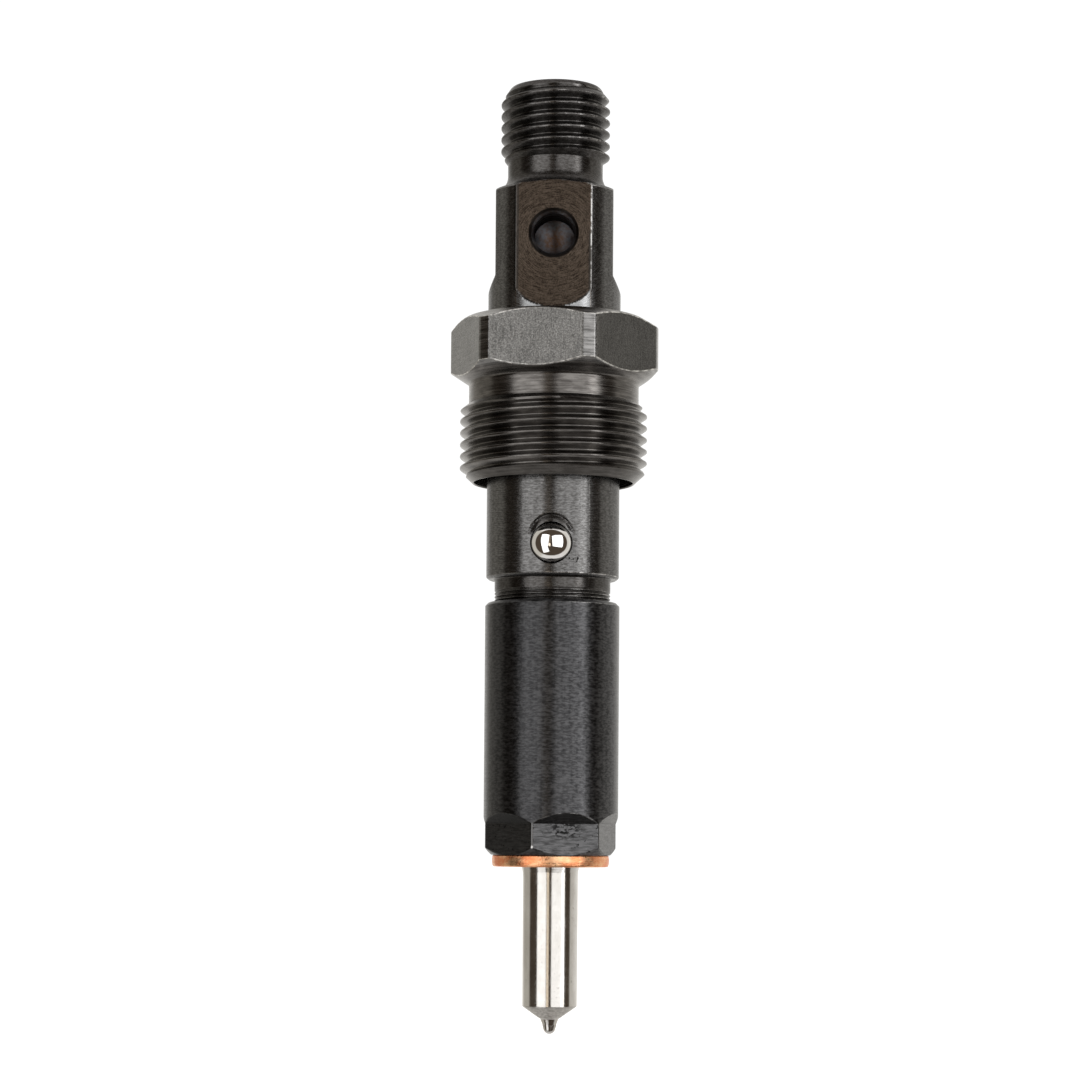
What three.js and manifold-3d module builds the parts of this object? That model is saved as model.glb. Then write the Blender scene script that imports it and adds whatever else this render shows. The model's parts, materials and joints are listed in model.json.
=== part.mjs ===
// Diesel fuel injector: nozzle holder with a screw-in gland nut and a hole-type nozzle.
// Units are millimetres and +Z is up, towards the fuel inlet. The origin is on the injector's
// axis at the underside of the copper sealing washer, the face that seals on the cylinder head.
// The leak-off port and the locating ball face -Y. The two wrench flats face -X and +X.

import * as THREE from 'three';
import { mergeVertices } from 'three/addons/utils/BufferGeometryUtils.js';
import Module from 'manifold-3d';

const wasm = await Module();
wasm.setup();

// ---------------------------------------------------------------- driving dimensions

const FACETS = 48;                    // facets round a large turned surface
const FINE_FACETS = 24;               // facets round a small turned surface or a drilling
const RUNNING_GAP = 0.05;             // radial clearance of a guided or seated piece
const BREAKTHROUGH = 1;               // how far a cutting solid runs past the face it opens

// Heights of the main joint faces, from the washer up.
const NUT_SEAT_Z = 1.5;               // washer's top, retaining nut's end face
const NOZZLE_SHOULDER_Z = 6.0;        // retaining nut's inner shoulder under the nozzle collar
const DISC_BOTTOM_Z = 19.5;           // nozzle's top face
const HOLDER_BOTTOM_Z = 24.0;         // disc's top face
const NUT_TOP_Z = 33.7;               // retaining nut's upper end
const BODY_BOTTOM_Z = 36.7;           // where the holder's full diameter starts
const GLAND_BOTTOM_Z = 49.1;
const THRUST_Z = 59.3;                // gland nut's inner shoulder on the holder's collar
const GLAND_TOP_Z = 70.0;
const BODY_TOP_Z = 86.5;
const INLET_Z = 100.0;

// Holder.
const BODY_R = 8.5;
const STEM_R = 7.42;                  // neck between the holder and the retaining nut
const STEM_THREAD_R = 7.1;            // mean radius of the M15 x 1 thread in the retaining nut
const COLLAR_R = 10.0;                // thrust collar inside the gland nut
const COLLAR_HEIGHT = 3.5;
const COLLAR_GAP = 0.1;
const WRENCH_FLAT_X = 7.5;            // two flats, 15 across
const WRENCH_FLAT_Z = 75.3;           // full depth from here up
const WRENCH_RUNOUT = 1.7;            // height of the slope below the flats
const PORT_FLAT_Y = 7.06;             // front flat's distance from the axis
const PORT_CUTTER_R = 6.0;            // end mill that cut the front flat
const PORT_CUTTER_Z = 76.7;           // lowest height of the end mill's axis
const NECK_R = 6.1;                   // relief under the inlet thread
const NECK_Z = 90.3;
const INLET_THREAD_R = 7.0;           // M14 x 1.5
const INLET_THREAD_TOP_Z = 98.4;
const INLET_END_R = 5.9;
const CHAMFER = 0.4;
const SMALL_CHAMFER = 0.3;
const NECK_FILLET_R = 2.0;

// Leak-off port, tapped M6.
const PORT_Z = 80.1;
const PORT_R = 2.6;
const PORT_MOUTH_R = 3.18;
const PORT_DEPTH = 4.4;
const PORT_TIP = 1.5;

// Locating ball.
const BALL_R = 2.75;
const BALL_Z = 40.7;
const BALL_CENTRE_Y = 7.25;
const BALL_HOLE_FLOOR_Y = 4.45;

// Drillings.
const CHAMBER_R = 3.7;
const CHAMBER_TOP_Z = 54.5;
const DUCT_R = 0.9;
const DUCT_Y = 5.5;                   // straight high-pressure drilling beside the chamber
const DUCT_TOP_Z = 59.0;
const INLET_CONE_R = 4.8;
const INLET_BORE_R = 2.0;
const INLET_CONE_TAN = Math.tan(THREE.MathUtils.degToRad(30));
const INLET_BORE_FLOOR_Z = 84.5;
const CROSS_DUCT_START = [0, 1, 84.9];   // from the inlet bore's floor, leaning back
const CROSS_DUCT_END = [0, DUCT_Y, 58.2];
const LEAK_R = 0.75;
const LEAK_START = [0, -1.8, 54];        // from the spring chamber's roof to the leak-off port
const LEAK_END = [0, -3, 79.1];
const DRILLING_FACETS = 12;

// Edge filter in the inlet.
const FILTER_R = 1.9;
const FILTER_WAIST_R = 1.7;
const FILTER_BOTTOM_Z = 85.4;
const FILTER_LENGTH = 8.8;
const FILTER_LAND = 1.2;
const FILTER_STEP = 0.2;
const FILTER_GROOVES = 4;
const FILTER_GROOVE_TURN = 45;
const FILTER_GROOVE_WIDTH = 0.7;
const FILTER_GROOVE_DEPTH = 0.6;

// Gland nut, M24 x 1.5 with a 24 mm hexagon.
const GLAND_THREAD_R = 12.0;
const GLAND_THREAD_END_R = 10.9;
const GLAND_THREAD_TOP_Z = 59.2;
const GLAND_THREAD_RUNOUT = 1.0;
const GLAND_NECK_R = 10.9;
const GLAND_NECK_TOP_Z = 61.8;
const GLAND_COUNTERBORE_R = 10.3;
const GLAND_BORE_R = 8.7;
const GLAND_HEX_ACROSS = 24;
const GLAND_HEX_CORNER_R = 13.5;
const GLAND_HEX_BOTTOM_Z = 63.5;
const GLAND_HEX_CHAMFER_Z = 68.9;
const GLAND_HEX_TOP_R = 11.6;
const GLAND_HEX_TURN = -9.5;          // degrees from -Y to a hexagon face's normal

// Retaining nut, M15 x 1 inside with a 15 mm hexagon at its lower end.
const CAP_R = 8.6;
const CAP_END_R = 7.6;
const CAP_END_CHAMFER = 0.9;
const CAP_MOUTH_R = 4.8;
const CAP_BORE_R = 7.15;
const CAP_THREAD_R = 7.45;
const CAP_THREAD_Z = 22.5;
const CAP_FLAT_R = 7.5;
const CAP_FLAT_TOP_Z = 5.65;
const CAP_FLAT_RUNOUT_Z = 7.0;
const CAP_HEX_TURN = 15.5;            // degrees from -Y to a hexagon face's normal

// Nozzle.
const NOZZLE_COLLAR_R = 7.0;
const NOZZLE_NECK_R = 4.6;
const NOZZLE_NECK_Z = 1.8;
const NOZZLE_SHANK_R = 3.5;
const NOZZLE_SHANK_FLARE_R = 3.57;
const NOZZLE_FLARE_Z = -6.0;
const NOZZLE_CONE_TOP_Z = -17.7;
const NOZZLE_EDGE = 0.2;
const NOZZLE_TIP_Z = -21.3;
const TIP_OUTLINE = [                 // radius, height above the tip's lowest point
  [0, 0],
  [0.35, 0.07],
  [0.62, 0.25],
  [0.8, 0.6],
  [1.2, 1.85],
  [1.4, 2.1],
];
const GUIDE_R = 2.05;
const GALLERY_R = 3.0;
const GALLERY_BOTTOM_Z = 7.6;
const GALLERY_TOP_Z = 10.6;
const GALLERY_SLOPE = 0.8;
const NOZZLE_DUCT_R = 0.7;
const NOZZLE_DUCT_START = [0, DUCT_Y + 0.3, 20.5];
const NOZZLE_DUCT_END = [0, 2.4, 8.9];
const SHANK_BORE_R = 1.75;
const SEAT_TOP_Z = -17.0;
const SAC_R = 0.5;
const SAC_TOP_Z = SEAT_TOP_Z - (SHANK_BORE_R - SAC_R) / Math.tan(THREE.MathUtils.degToRad(30));
const SAC_FLOOR_Z = -20.5;
const SPRAY_HOLES = 5;
const SPRAY_HOLE_R = 0.14;
const SPRAY_HOLE_Z = -20.0;
const SPRAY_HOLE_FALL = 15;           // degrees below level
const SPRAY_REACH = 2;
const SPRAY_FACETS = 8;

// Needle and the pieces that hold it shut.
const NEEDLE_LIFT = 0.25;
const NEEDLE_SHAFT_R = 1.3;
const NEEDLE_TAIL_R = 1.2;
const NEEDLE_TAIL_Z = 21.5;
const NEEDLE_SEAT_GAP = 0.03;
const NEEDLE_CONE_BLUNT = 0.35;       // height of the cut-off point of the needle's cone
const NEEDLE_POINT = 0.25;
const NEEDLE_RELIEF = 0.4;            // inset of the needle's slope from the gallery's ends
const DISC_BORE_R = 1.75;
const PIN_R = 1.65;
const PIN_TOP_Z = 29.3;
const SEAT_R = 3.4;
const SEAT_BOTTOM_Z = 28.3;
const SPRING_BOTTOM_Z = 31.0;
const SEAT_SPIGOT_R = 1.6;
const SEAT_SPIGOT_HEIGHT = 2.6;
const SPRING_TOP_Z = 52.6;
const SPRING_MEAN_R = 2.65;
const SPRING_WIRE_R = 0.78;
const SPRING_ACTIVE_TURNS = 5;
const SPRING_END_TURNS = 1.25;
const SPRING_END_PITCH = 1.68;
const SPRING_SIDES = 8;
const SPRING_STEPS_PER_TURN = 14;
const SPRING_GROUND = 0.6;            // wire radii left outside the ground end faces
const SHIM_R = 3.4;
const SHIM_HOLE_R = 1.1;
const SHIM_JOINT_Z = 53.9;            // between the thick and the thin shim

// Dowels on both faces of the intermediate disc.
const DOWEL_R = 1.0;
const DOWEL_LENGTH = 4.0;
const DOWEL_IN_DISC = 1.9;
const DOWEL_END_GAP = 0.2;
const DOWEL_BEVEL = 0.2;
const DOWEL_CIRCLE_R = 5.4;
const UPPER_DOWEL_TURN = 60;          // degrees from -Y, to each side
const LOWER_DOWEL_TURN = 100;

// Copper washer.
const WASHER_R = 7.5;
const WASHER_HOLE_R = 3.68;
const WASHER_EDGE = 0.2;

// ---------------------------------------------------------------- solids from geometry

// A boolean solid from a closed three.js geometry.
function solid(geometry) {
  const bare = geometry.index ? geometry.toNonIndexed() : geometry.clone();
  bare.deleteAttribute('normal');
  bare.deleteAttribute('uv');
  const merged = mergeVertices(bare, 1e-5);
  const corners = merged.index.array;
  const kept = [];
  for (let i = 0; i < corners.length; i += 3) {
    const [a, b, c] = [corners[i], corners[i + 1], corners[i + 2]];
    if (a !== b && b !== c && c !== a) kept.push(a, b, c);
  }
  return new wasm.Manifold(new wasm.Mesh({
    numProp: 3,
    vertProperties: new Float32Array(merged.attributes.position.array),
    triVerts: new Uint32Array(kept),
  }));
}

// The three.js geometry of a boolean solid.
function geometryOf(shape) {
  const mesh = shape.getMesh();
  const geometry = new THREE.BufferGeometry();
  geometry.setAttribute('position', new THREE.BufferAttribute(mesh.vertProperties, 3));
  geometry.setIndex(new THREE.BufferAttribute(mesh.triVerts, 1));
  geometry.computeVertexNormals();
  return geometry;
}

// A solid of revolution about Z. The outline is a list of [radius, height], anticlockwise in
// the half plane of positive radius. It runs from axis to axis, or is closed by this function.
function turned(outline, facets = FACETS) {
  const points = outline.map(([radius, height]) => new THREE.Vector2(radius, height));
  const open = points[0].x === 0 && points[points.length - 1].x === 0;
  if (!open) points.push(points[0].clone());
  const geometry = new THREE.LatheGeometry(points, facets);
  geometry.rotateX(Math.PI / 2);
  return solid(geometry);
}

// A straight cylinder from one point to another.
function rod(from, to, radius, facets = FINE_FACETS) {
  const start = new THREE.Vector3(...from);
  const along = new THREE.Vector3(...to).sub(start);
  const geometry = new THREE.CylinderGeometry(radius, radius, along.length(), facets);
  const up = new THREE.Vector3(0, 1, 0);
  geometry.applyQuaternion(new THREE.Quaternion().setFromUnitVectors(up, along.clone().normalize()));
  geometry.translate(...start.addScaledVector(along, 0.5));
  return solid(geometry);
}

// A cone frustum along +Y, from its radius at the first depth to its radius at the second.
function taperAlongY(yFrom, rFrom, yTo, rTo, z, facets = FINE_FACETS) {
  const geometry = new THREE.CylinderGeometry(rTo, rFrom, yTo - yFrom, facets);
  geometry.translate(0, (yFrom + yTo) / 2, z);
  return solid(geometry);
}

// A prism whose outline lies in a vertical plane through the axis, as [radius, height], spread
// evenly to both sides of that plane. The plane is turned by an angle from -Y towards +X.
function radialPrism(outline, width, turnDegrees) {
  const shape = new THREE.Shape(outline.map(([radius, height]) => new THREE.Vector2(radius, height)));
  const geometry = new THREE.ExtrudeGeometry(shape, { depth: width, bevelEnabled: false });
  geometry.translate(0, 0, -width / 2);
  geometry.rotateX(Math.PI / 2);
  geometry.rotateZ(THREE.MathUtils.degToRad(turnDegrees - 90));
  return solid(geometry);
}

// A point on a circle about the axis, at an angle from -Y towards +X.
function around(radius, turnDegrees, z) {
  const angle = THREE.MathUtils.degToRad(turnDegrees);
  return [radius * Math.sin(angle), -radius * Math.cos(angle), z];
}

// Points along an arc, from one angle to another about a centre.
function arc(centreR, centreZ, radius, fromDegrees, toDegrees, steps) {
  const points = [];
  for (let i = 0; i <= steps; i += 1) {
    const angle = THREE.MathUtils.degToRad(fromDegrees + ((toDegrees - fromDegrees) * i) / steps);
    points.push([centreR + radius * Math.cos(angle), centreZ + radius * Math.sin(angle)]);
  }
  return points;
}

const subtractAll = (shape, cutters) => cutters.reduce((left, cutter) => left.subtract(cutter), shape);

// ---------------------------------------------------------------- materials

const steel = (color, roughness, metalness = 0.9) =>
  new THREE.MeshStandardMaterial({ color, roughness, metalness });

const MATERIALS = {
  blackenedSteel: steel(0x4a4643, 0.42),
  glandSteel: steel(0x55524f, 0.48),
  groundSteel: steel(0xc9c9c6, 0.22, 1),
  hardenedSteel: steel(0x9a9b9c, 0.3, 1),
  springSteel: steel(0x5f6266, 0.35, 1),
  ballSteel: steel(0xe2e2e2, 0.08, 1),
  copper: steel(0xd07a45, 0.3, 1),
};

const injector = new THREE.Group();

function addPiece(name, shape, material) {
  const mesh = new THREE.Mesh(geometryOf(shape), material);
  mesh.name = name;
  injector.add(mesh);
}

// ---------------------------------------------------------------- holder body

const DOWELS = [
  { name: 'upper_dowel_left', turn: -UPPER_DOWEL_TURN, bottom: HOLDER_BOTTOM_Z - DOWEL_IN_DISC },
  { name: 'upper_dowel_right', turn: UPPER_DOWEL_TURN, bottom: HOLDER_BOTTOM_Z - DOWEL_IN_DISC },
  { name: 'lower_dowel_left', turn: -LOWER_DOWEL_TURN, bottom: DISC_BOTTOM_Z + DOWEL_IN_DISC - DOWEL_LENGTH },
  { name: 'lower_dowel_right', turn: LOWER_DOWEL_TURN, bottom: DISC_BOTTOM_Z + DOWEL_IN_DISC - DOWEL_LENGTH },
];

// The holes that the dowels stand in, cut from the holder, the disc and the nozzle alike.
function dowelHoles(dowels) {
  return dowels.map(({ turn, bottom }) => rod(
    around(DOWEL_CIRCLE_R, turn, bottom - DOWEL_END_GAP),
    around(DOWEL_CIRCLE_R, turn, bottom + DOWEL_LENGTH + DOWEL_END_GAP),
    DOWEL_R + RUNNING_GAP,
    DRILLING_FACETS,
  ));
}

const upperDowels = DOWELS.slice(0, 2);
const lowerDowels = DOWELS.slice(2);

function holderOutline() {
  const collarTop = THRUST_Z - COLLAR_GAP;
  const collarBottom = collarTop - COLLAR_HEIGHT;
  return [
    [0, HOLDER_BOTTOM_Z],
    [STEM_THREAD_R - CHAMFER, HOLDER_BOTTOM_Z],
    [STEM_THREAD_R, HOLDER_BOTTOM_Z + CHAMFER],
    [STEM_THREAD_R, NUT_TOP_Z - CHAMFER],
    [STEM_R, NUT_TOP_Z + CHAMFER],
    [STEM_R, BODY_BOTTOM_Z],
    [BODY_R - CHAMFER, BODY_BOTTOM_Z],
    [BODY_R, BODY_BOTTOM_Z + CHAMFER],
    [BODY_R, collarBottom],
    [COLLAR_R - CHAMFER, collarBottom],
    [COLLAR_R, collarBottom + CHAMFER],
    [COLLAR_R, collarTop - CHAMFER],
    [COLLAR_R - CHAMFER, collarTop],
    [BODY_R, collarTop],
    [BODY_R, BODY_TOP_Z - CHAMFER],
    [BODY_R - CHAMFER, BODY_TOP_Z],
    ...arc(NECK_R + NECK_FILLET_R, BODY_TOP_Z + NECK_FILLET_R, NECK_FILLET_R, 270, 180, 4),
    [NECK_R, NECK_Z],
    [INLET_THREAD_R, NECK_Z + INLET_THREAD_R - NECK_R],
    [INLET_THREAD_R, INLET_THREAD_TOP_Z],
    [INLET_END_R, INLET_Z],
    [0, INLET_Z],
  ];
}

// Two flats for a 15 mm wrench, each with a slope where the cutter ran out.
function wrenchFlatCutters() {
  const outline = [
    [WRENCH_FLAT_X, WRENCH_FLAT_Z],
    [BODY_R + BREAKTHROUGH, WRENCH_FLAT_Z - WRENCH_RUNOUT * (1 + BREAKTHROUGH)],
    [BODY_R + BREAKTHROUGH, BODY_TOP_Z + BREAKTHROUGH],
    [WRENCH_FLAT_X, BODY_TOP_Z + BREAKTHROUGH],
  ];
  return [-90, 90].map((turn) => radialPrism(outline, 2 * BODY_R, turn));
}

// The front flat: an end mill that stood along Y, moved up and out at the top of the body.
function portFlatCutter() {
  const reach = BODY_R + BREAKTHROUGH;
  const start = rod([0, -reach, PORT_CUTTER_Z], [0, -PORT_FLAT_Y, PORT_CUTTER_Z], PORT_CUTTER_R, FACETS);
  const height = BODY_TOP_Z + BREAKTHROUGH - PORT_CUTTER_Z;
  const path = new THREE.BoxGeometry(2 * PORT_CUTTER_R, reach - PORT_FLAT_Y, height);
  path.translate(0, -(reach + PORT_FLAT_Y) / 2, PORT_CUTTER_Z + height / 2);
  return start.add(solid(path));
}

function leakOffPortCutter() {
  const chamfer = PORT_MOUTH_R - PORT_R;
  const floor = PORT_DEPTH - PORT_FLAT_Y;
  const hole = rod([0, -PORT_FLAT_Y - BREAKTHROUGH, PORT_Z], [0, floor, PORT_Z], PORT_R);
  const mouth = taperAlongY(
    -PORT_FLAT_Y - chamfer, PORT_MOUTH_R + chamfer, -PORT_FLAT_Y + chamfer, PORT_R, PORT_Z,
  );
  const tip = taperAlongY(floor, PORT_R, floor + PORT_TIP, LEAK_R, PORT_Z);
  return hole.add(mouth).add(tip);
}

function inletCutter() {
  const coneDepth = (INLET_CONE_R - INLET_BORE_R) / INLET_CONE_TAN;
  return turned([
    [0, INLET_BORE_FLOOR_Z],
    [INLET_BORE_R, INLET_BORE_FLOOR_Z],
    [INLET_BORE_R, INLET_Z - coneDepth],
    [INLET_CONE_R, INLET_Z],
    [INLET_CONE_R, INLET_Z + BREAKTHROUGH],
    [0, INLET_Z + BREAKTHROUGH],
  ], FINE_FACETS);
}

function holderBody() {
  const chamber = rod([0, 0, HOLDER_BOTTOM_Z - BREAKTHROUGH], [0, 0, CHAMBER_TOP_Z], CHAMBER_R);
  const ductStart = [0, DUCT_Y, HOLDER_BOTTOM_Z - BREAKTHROUGH];
  const duct = rod(ductStart, [0, DUCT_Y, DUCT_TOP_Z], DUCT_R, DRILLING_FACETS);
  const crossDuct = rod(CROSS_DUCT_START, CROSS_DUCT_END, DUCT_R, DRILLING_FACETS);
  const leakDuct = rod(LEAK_START, LEAK_END, LEAK_R, DRILLING_FACETS);
  const ballHole = rod(
    [0, -BODY_R - BREAKTHROUGH, BALL_Z], [0, -BALL_HOLE_FLOOR_Y, BALL_Z], BALL_R + RUNNING_GAP,
  );
  return subtractAll(turned(holderOutline()), [
    ...wrenchFlatCutters(),
    portFlatCutter(),
    leakOffPortCutter(),
    inletCutter(),
    chamber,
    duct,
    crossDuct,
    leakDuct,
    ballHole,
    ...dowelHoles(upperDowels),
  ]);
}

addPiece('holder_body', holderBody(), MATERIALS.blackenedSteel);

// ---------------------------------------------------------------- edge filter and ball

function edgeFilter() {
  const bottom = FILTER_BOTTOM_Z;
  const top = bottom + FILTER_LENGTH;
  const body = turned([
    [0, bottom],
    [FILTER_WAIST_R, bottom],
    [FILTER_R, bottom + FILTER_STEP],
    [FILTER_R, bottom + FILTER_LAND],
    [FILTER_WAIST_R, bottom + FILTER_LAND + FILTER_STEP],
    [FILTER_WAIST_R, top - FILTER_LAND - FILTER_STEP],
    [FILTER_R, top - FILTER_LAND],
    [FILTER_R, top - FILTER_STEP],
    [FILTER_WAIST_R, top],
    [0, top],
  ], FINE_FACETS);
  const grooves = [];
  for (let i = 0; i < FILTER_GROOVES; i += 1) {
    const fromTop = i % 2 === 0;
    const blindEnd = FILTER_LAND + 2 * FILTER_STEP;
    const low = fromTop ? bottom + blindEnd : bottom - BREAKTHROUGH;
    const high = fromTop ? top + BREAKTHROUGH : top - blindEnd;
    const inner = FILTER_R - FILTER_GROOVE_DEPTH;
    const outer = FILTER_R + BREAKTHROUGH;
    const outline = [[inner, low], [outer, low], [outer, high], [inner, high]];
    const turn = FILTER_GROOVE_TURN + (i * 360) / FILTER_GROOVES;
    grooves.push(radialPrism(outline, FILTER_GROOVE_WIDTH, turn));
  }
  return subtractAll(body, grooves);
}

addPiece('edge_filter', edgeFilter(), MATERIALS.hardenedSteel);

const ball = new THREE.SphereGeometry(BALL_R, FINE_FACETS, FINE_FACETS / 2);
ball.translate(0, -BALL_CENTRE_Y, BALL_Z);
addPiece('locating_ball', solid(ball), MATERIALS.ballSteel);

// ---------------------------------------------------------------- gland nut

function glandNut() {
  const envelope = turned([
    [GLAND_BORE_R, THRUST_Z],
    [GLAND_COUNTERBORE_R, THRUST_Z],
    [GLAND_COUNTERBORE_R, GLAND_BOTTOM_Z],
    [GLAND_THREAD_END_R, GLAND_BOTTOM_Z],
    [GLAND_THREAD_R, GLAND_BOTTOM_Z + GLAND_THREAD_R - GLAND_THREAD_END_R],
    [GLAND_THREAD_R, GLAND_THREAD_TOP_Z - GLAND_THREAD_RUNOUT],
    [GLAND_NECK_R, GLAND_THREAD_TOP_Z],
    [GLAND_NECK_R, GLAND_NECK_TOP_Z],
    [GLAND_HEX_CORNER_R, GLAND_HEX_BOTTOM_Z],
    [GLAND_HEX_CORNER_R, GLAND_HEX_CHAMFER_Z],
    [GLAND_HEX_TOP_R, GLAND_TOP_Z],
    [GLAND_BORE_R, GLAND_TOP_Z],
  ]);
  const flat = GLAND_HEX_ACROSS / 2;
  const outer = GLAND_HEX_CORNER_R + BREAKTHROUGH;
  const outline = [
    [flat, GLAND_NECK_TOP_Z - BREAKTHROUGH],
    [outer, GLAND_NECK_TOP_Z - BREAKTHROUGH],
    [outer, GLAND_TOP_Z + BREAKTHROUGH],
    [flat, GLAND_TOP_Z + BREAKTHROUGH],
  ];
  const cutters = [];
  for (let i = 0; i < 6; i += 1) {
    cutters.push(radialPrism(outline, GLAND_HEX_ACROSS, GLAND_HEX_TURN + 60 * i));
  }
  return subtractAll(envelope, cutters);
}

addPiece('gland_nut', glandNut(), MATERIALS.glandSteel);

// ---------------------------------------------------------------- retaining nut

function retainingNut() {
  const shell = turned([
    [CAP_MOUTH_R, NUT_SEAT_Z],
    [CAP_END_R, NUT_SEAT_Z],
    [CAP_R, NUT_SEAT_Z + CAP_END_CHAMFER],
    [CAP_R, NUT_TOP_Z - CHAMFER],
    [CAP_R - CHAMFER, NUT_TOP_Z],
    [CAP_THREAD_R + CHAMFER, NUT_TOP_Z],
    [CAP_THREAD_R, NUT_TOP_Z - CHAMFER],
    [CAP_THREAD_R, CAP_THREAD_Z],
    [CAP_BORE_R, CAP_THREAD_Z - SMALL_CHAMFER],
    [CAP_BORE_R, NOZZLE_SHOULDER_Z],
    [CAP_MOUTH_R, NOZZLE_SHOULDER_Z],
  ]);
  const slope = (CAP_FLAT_RUNOUT_Z - CAP_FLAT_TOP_Z) / (CAP_R - CAP_FLAT_R);
  const outline = [
    [CAP_FLAT_R, NUT_SEAT_Z - BREAKTHROUGH],
    [CAP_R + BREAKTHROUGH, NUT_SEAT_Z - BREAKTHROUGH],
    [CAP_R + BREAKTHROUGH, CAP_FLAT_RUNOUT_Z + slope * BREAKTHROUGH],
    [CAP_FLAT_R, CAP_FLAT_TOP_Z],
  ];
  const cutters = [];
  for (let i = 0; i < 6; i += 1) {
    cutters.push(radialPrism(outline, 2 * CAP_FLAT_R, CAP_HEX_TURN + 60 * i));
  }
  return subtractAll(shell, cutters);
}

addPiece('retaining_nut', retainingNut(), MATERIALS.blackenedSteel);

// ---------------------------------------------------------------- sealing washer

addPiece('sealing_washer', turned([
  [WASHER_HOLE_R, WASHER_EDGE],
  [WASHER_HOLE_R + WASHER_EDGE, 0],
  [WASHER_R - WASHER_EDGE, 0],
  [WASHER_R, WASHER_EDGE],
  [WASHER_R, NUT_SEAT_Z - WASHER_EDGE],
  [WASHER_R - WASHER_EDGE, NUT_SEAT_Z],
  [WASHER_HOLE_R + WASHER_EDGE, NUT_SEAT_Z],
  [WASHER_HOLE_R, NUT_SEAT_Z - WASHER_EDGE],
]), MATERIALS.copper);

// ---------------------------------------------------------------- nozzle body

function nozzleBody() {
  const outside = turned([
    ...TIP_OUTLINE.map(([radius, height]) => [radius, NOZZLE_TIP_Z + height]),
    [NOZZLE_SHANK_R - NOZZLE_EDGE, NOZZLE_CONE_TOP_Z - NOZZLE_EDGE / 2],
    [NOZZLE_SHANK_R, NOZZLE_CONE_TOP_Z + NOZZLE_EDGE / 2],
    [NOZZLE_SHANK_R, NOZZLE_FLARE_Z],
    [NOZZLE_SHANK_FLARE_R, NOZZLE_FLARE_Z],
    [NOZZLE_SHANK_FLARE_R, NOZZLE_NECK_Z],
    [NOZZLE_NECK_R - NOZZLE_EDGE, NOZZLE_NECK_Z],
    [NOZZLE_NECK_R, NOZZLE_NECK_Z + NOZZLE_EDGE],
    [NOZZLE_NECK_R, NOZZLE_SHOULDER_Z],
    [NOZZLE_COLLAR_R - SMALL_CHAMFER, NOZZLE_SHOULDER_Z],
    [NOZZLE_COLLAR_R, NOZZLE_SHOULDER_Z + SMALL_CHAMFER],
    [NOZZLE_COLLAR_R, DISC_BOTTOM_Z - SMALL_CHAMFER],
    [NOZZLE_COLLAR_R - SMALL_CHAMFER, DISC_BOTTOM_Z],
    [0, DISC_BOTTOM_Z],
  ]);
  const inside = turned([
    [0, SAC_FLOOR_Z],
    [SAC_R, SAC_FLOOR_Z + SMALL_CHAMFER],
    [SAC_R, SAC_TOP_Z],
    [SHANK_BORE_R, SEAT_TOP_Z],
    [SHANK_BORE_R, GALLERY_BOTTOM_Z - GALLERY_SLOPE],
    [GALLERY_R, GALLERY_BOTTOM_Z],
    [GALLERY_R, GALLERY_TOP_Z - GALLERY_SLOPE],
    [GUIDE_R, GALLERY_TOP_Z],
    [GUIDE_R, DISC_BOTTOM_Z + BREAKTHROUGH],
    [0, DISC_BOTTOM_Z + BREAKTHROUGH],
  ], FINE_FACETS);
  const duct = rod(NOZZLE_DUCT_START, NOZZLE_DUCT_END, NOZZLE_DUCT_R, DRILLING_FACETS);
  const spray = [];
  for (let i = 0; i < SPRAY_HOLES; i += 1) {
    const fall = SPRAY_REACH * Math.tan(THREE.MathUtils.degToRad(SPRAY_HOLE_FALL));
    const end = around(SPRAY_REACH, (i * 360) / SPRAY_HOLES, SPRAY_HOLE_Z - fall);
    spray.push(rod([0, 0, SPRAY_HOLE_Z], end, SPRAY_HOLE_R, SPRAY_FACETS));
  }
  return subtractAll(outside, [inside, duct, ...spray, ...dowelHoles(lowerDowels)]);
}

addPiece('nozzle_body', nozzleBody(), MATERIALS.groundSteel);

// ---------------------------------------------------------------- intermediate disc and dowels

function intermediateDisc() {
  const blank = turned([
    [0, DISC_BOTTOM_Z],
    [NOZZLE_COLLAR_R - SMALL_CHAMFER, DISC_BOTTOM_Z],
    [NOZZLE_COLLAR_R, DISC_BOTTOM_Z + SMALL_CHAMFER],
    [NOZZLE_COLLAR_R, HOLDER_BOTTOM_Z - SMALL_CHAMFER],
    [NOZZLE_COLLAR_R - SMALL_CHAMFER, HOLDER_BOTTOM_Z],
    [0, HOLDER_BOTTOM_Z],
  ]);
  const low = DISC_BOTTOM_Z - BREAKTHROUGH;
  const high = HOLDER_BOTTOM_Z + BREAKTHROUGH;
  return subtractAll(blank, [
    rod([0, 0, low], [0, 0, high], DISC_BORE_R),
    rod([0, DUCT_Y, low], [0, DUCT_Y, high], DUCT_R, DRILLING_FACETS),
    ...dowelHoles(DOWELS),
  ]);
}

addPiece('intermediate_disc', intermediateDisc(), MATERIALS.hardenedSteel);

for (const { name, turn, bottom } of DOWELS) {
  const [x, y] = around(DOWEL_CIRCLE_R, turn, 0);
  const top = bottom + DOWEL_LENGTH;
  const dowel = turned([
    [0, bottom],
    [DOWEL_R - DOWEL_BEVEL, bottom],
    [DOWEL_R, bottom + DOWEL_BEVEL],
    [DOWEL_R, top - DOWEL_BEVEL],
    [DOWEL_R - DOWEL_BEVEL, top],
    [0, top],
  ], DRILLING_FACETS);
  addPiece(name, dowel.translate([x, y, 0]), MATERIALS.hardenedSteel);
}

// ---------------------------------------------------------------- needle, pin and spring seat

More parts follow.
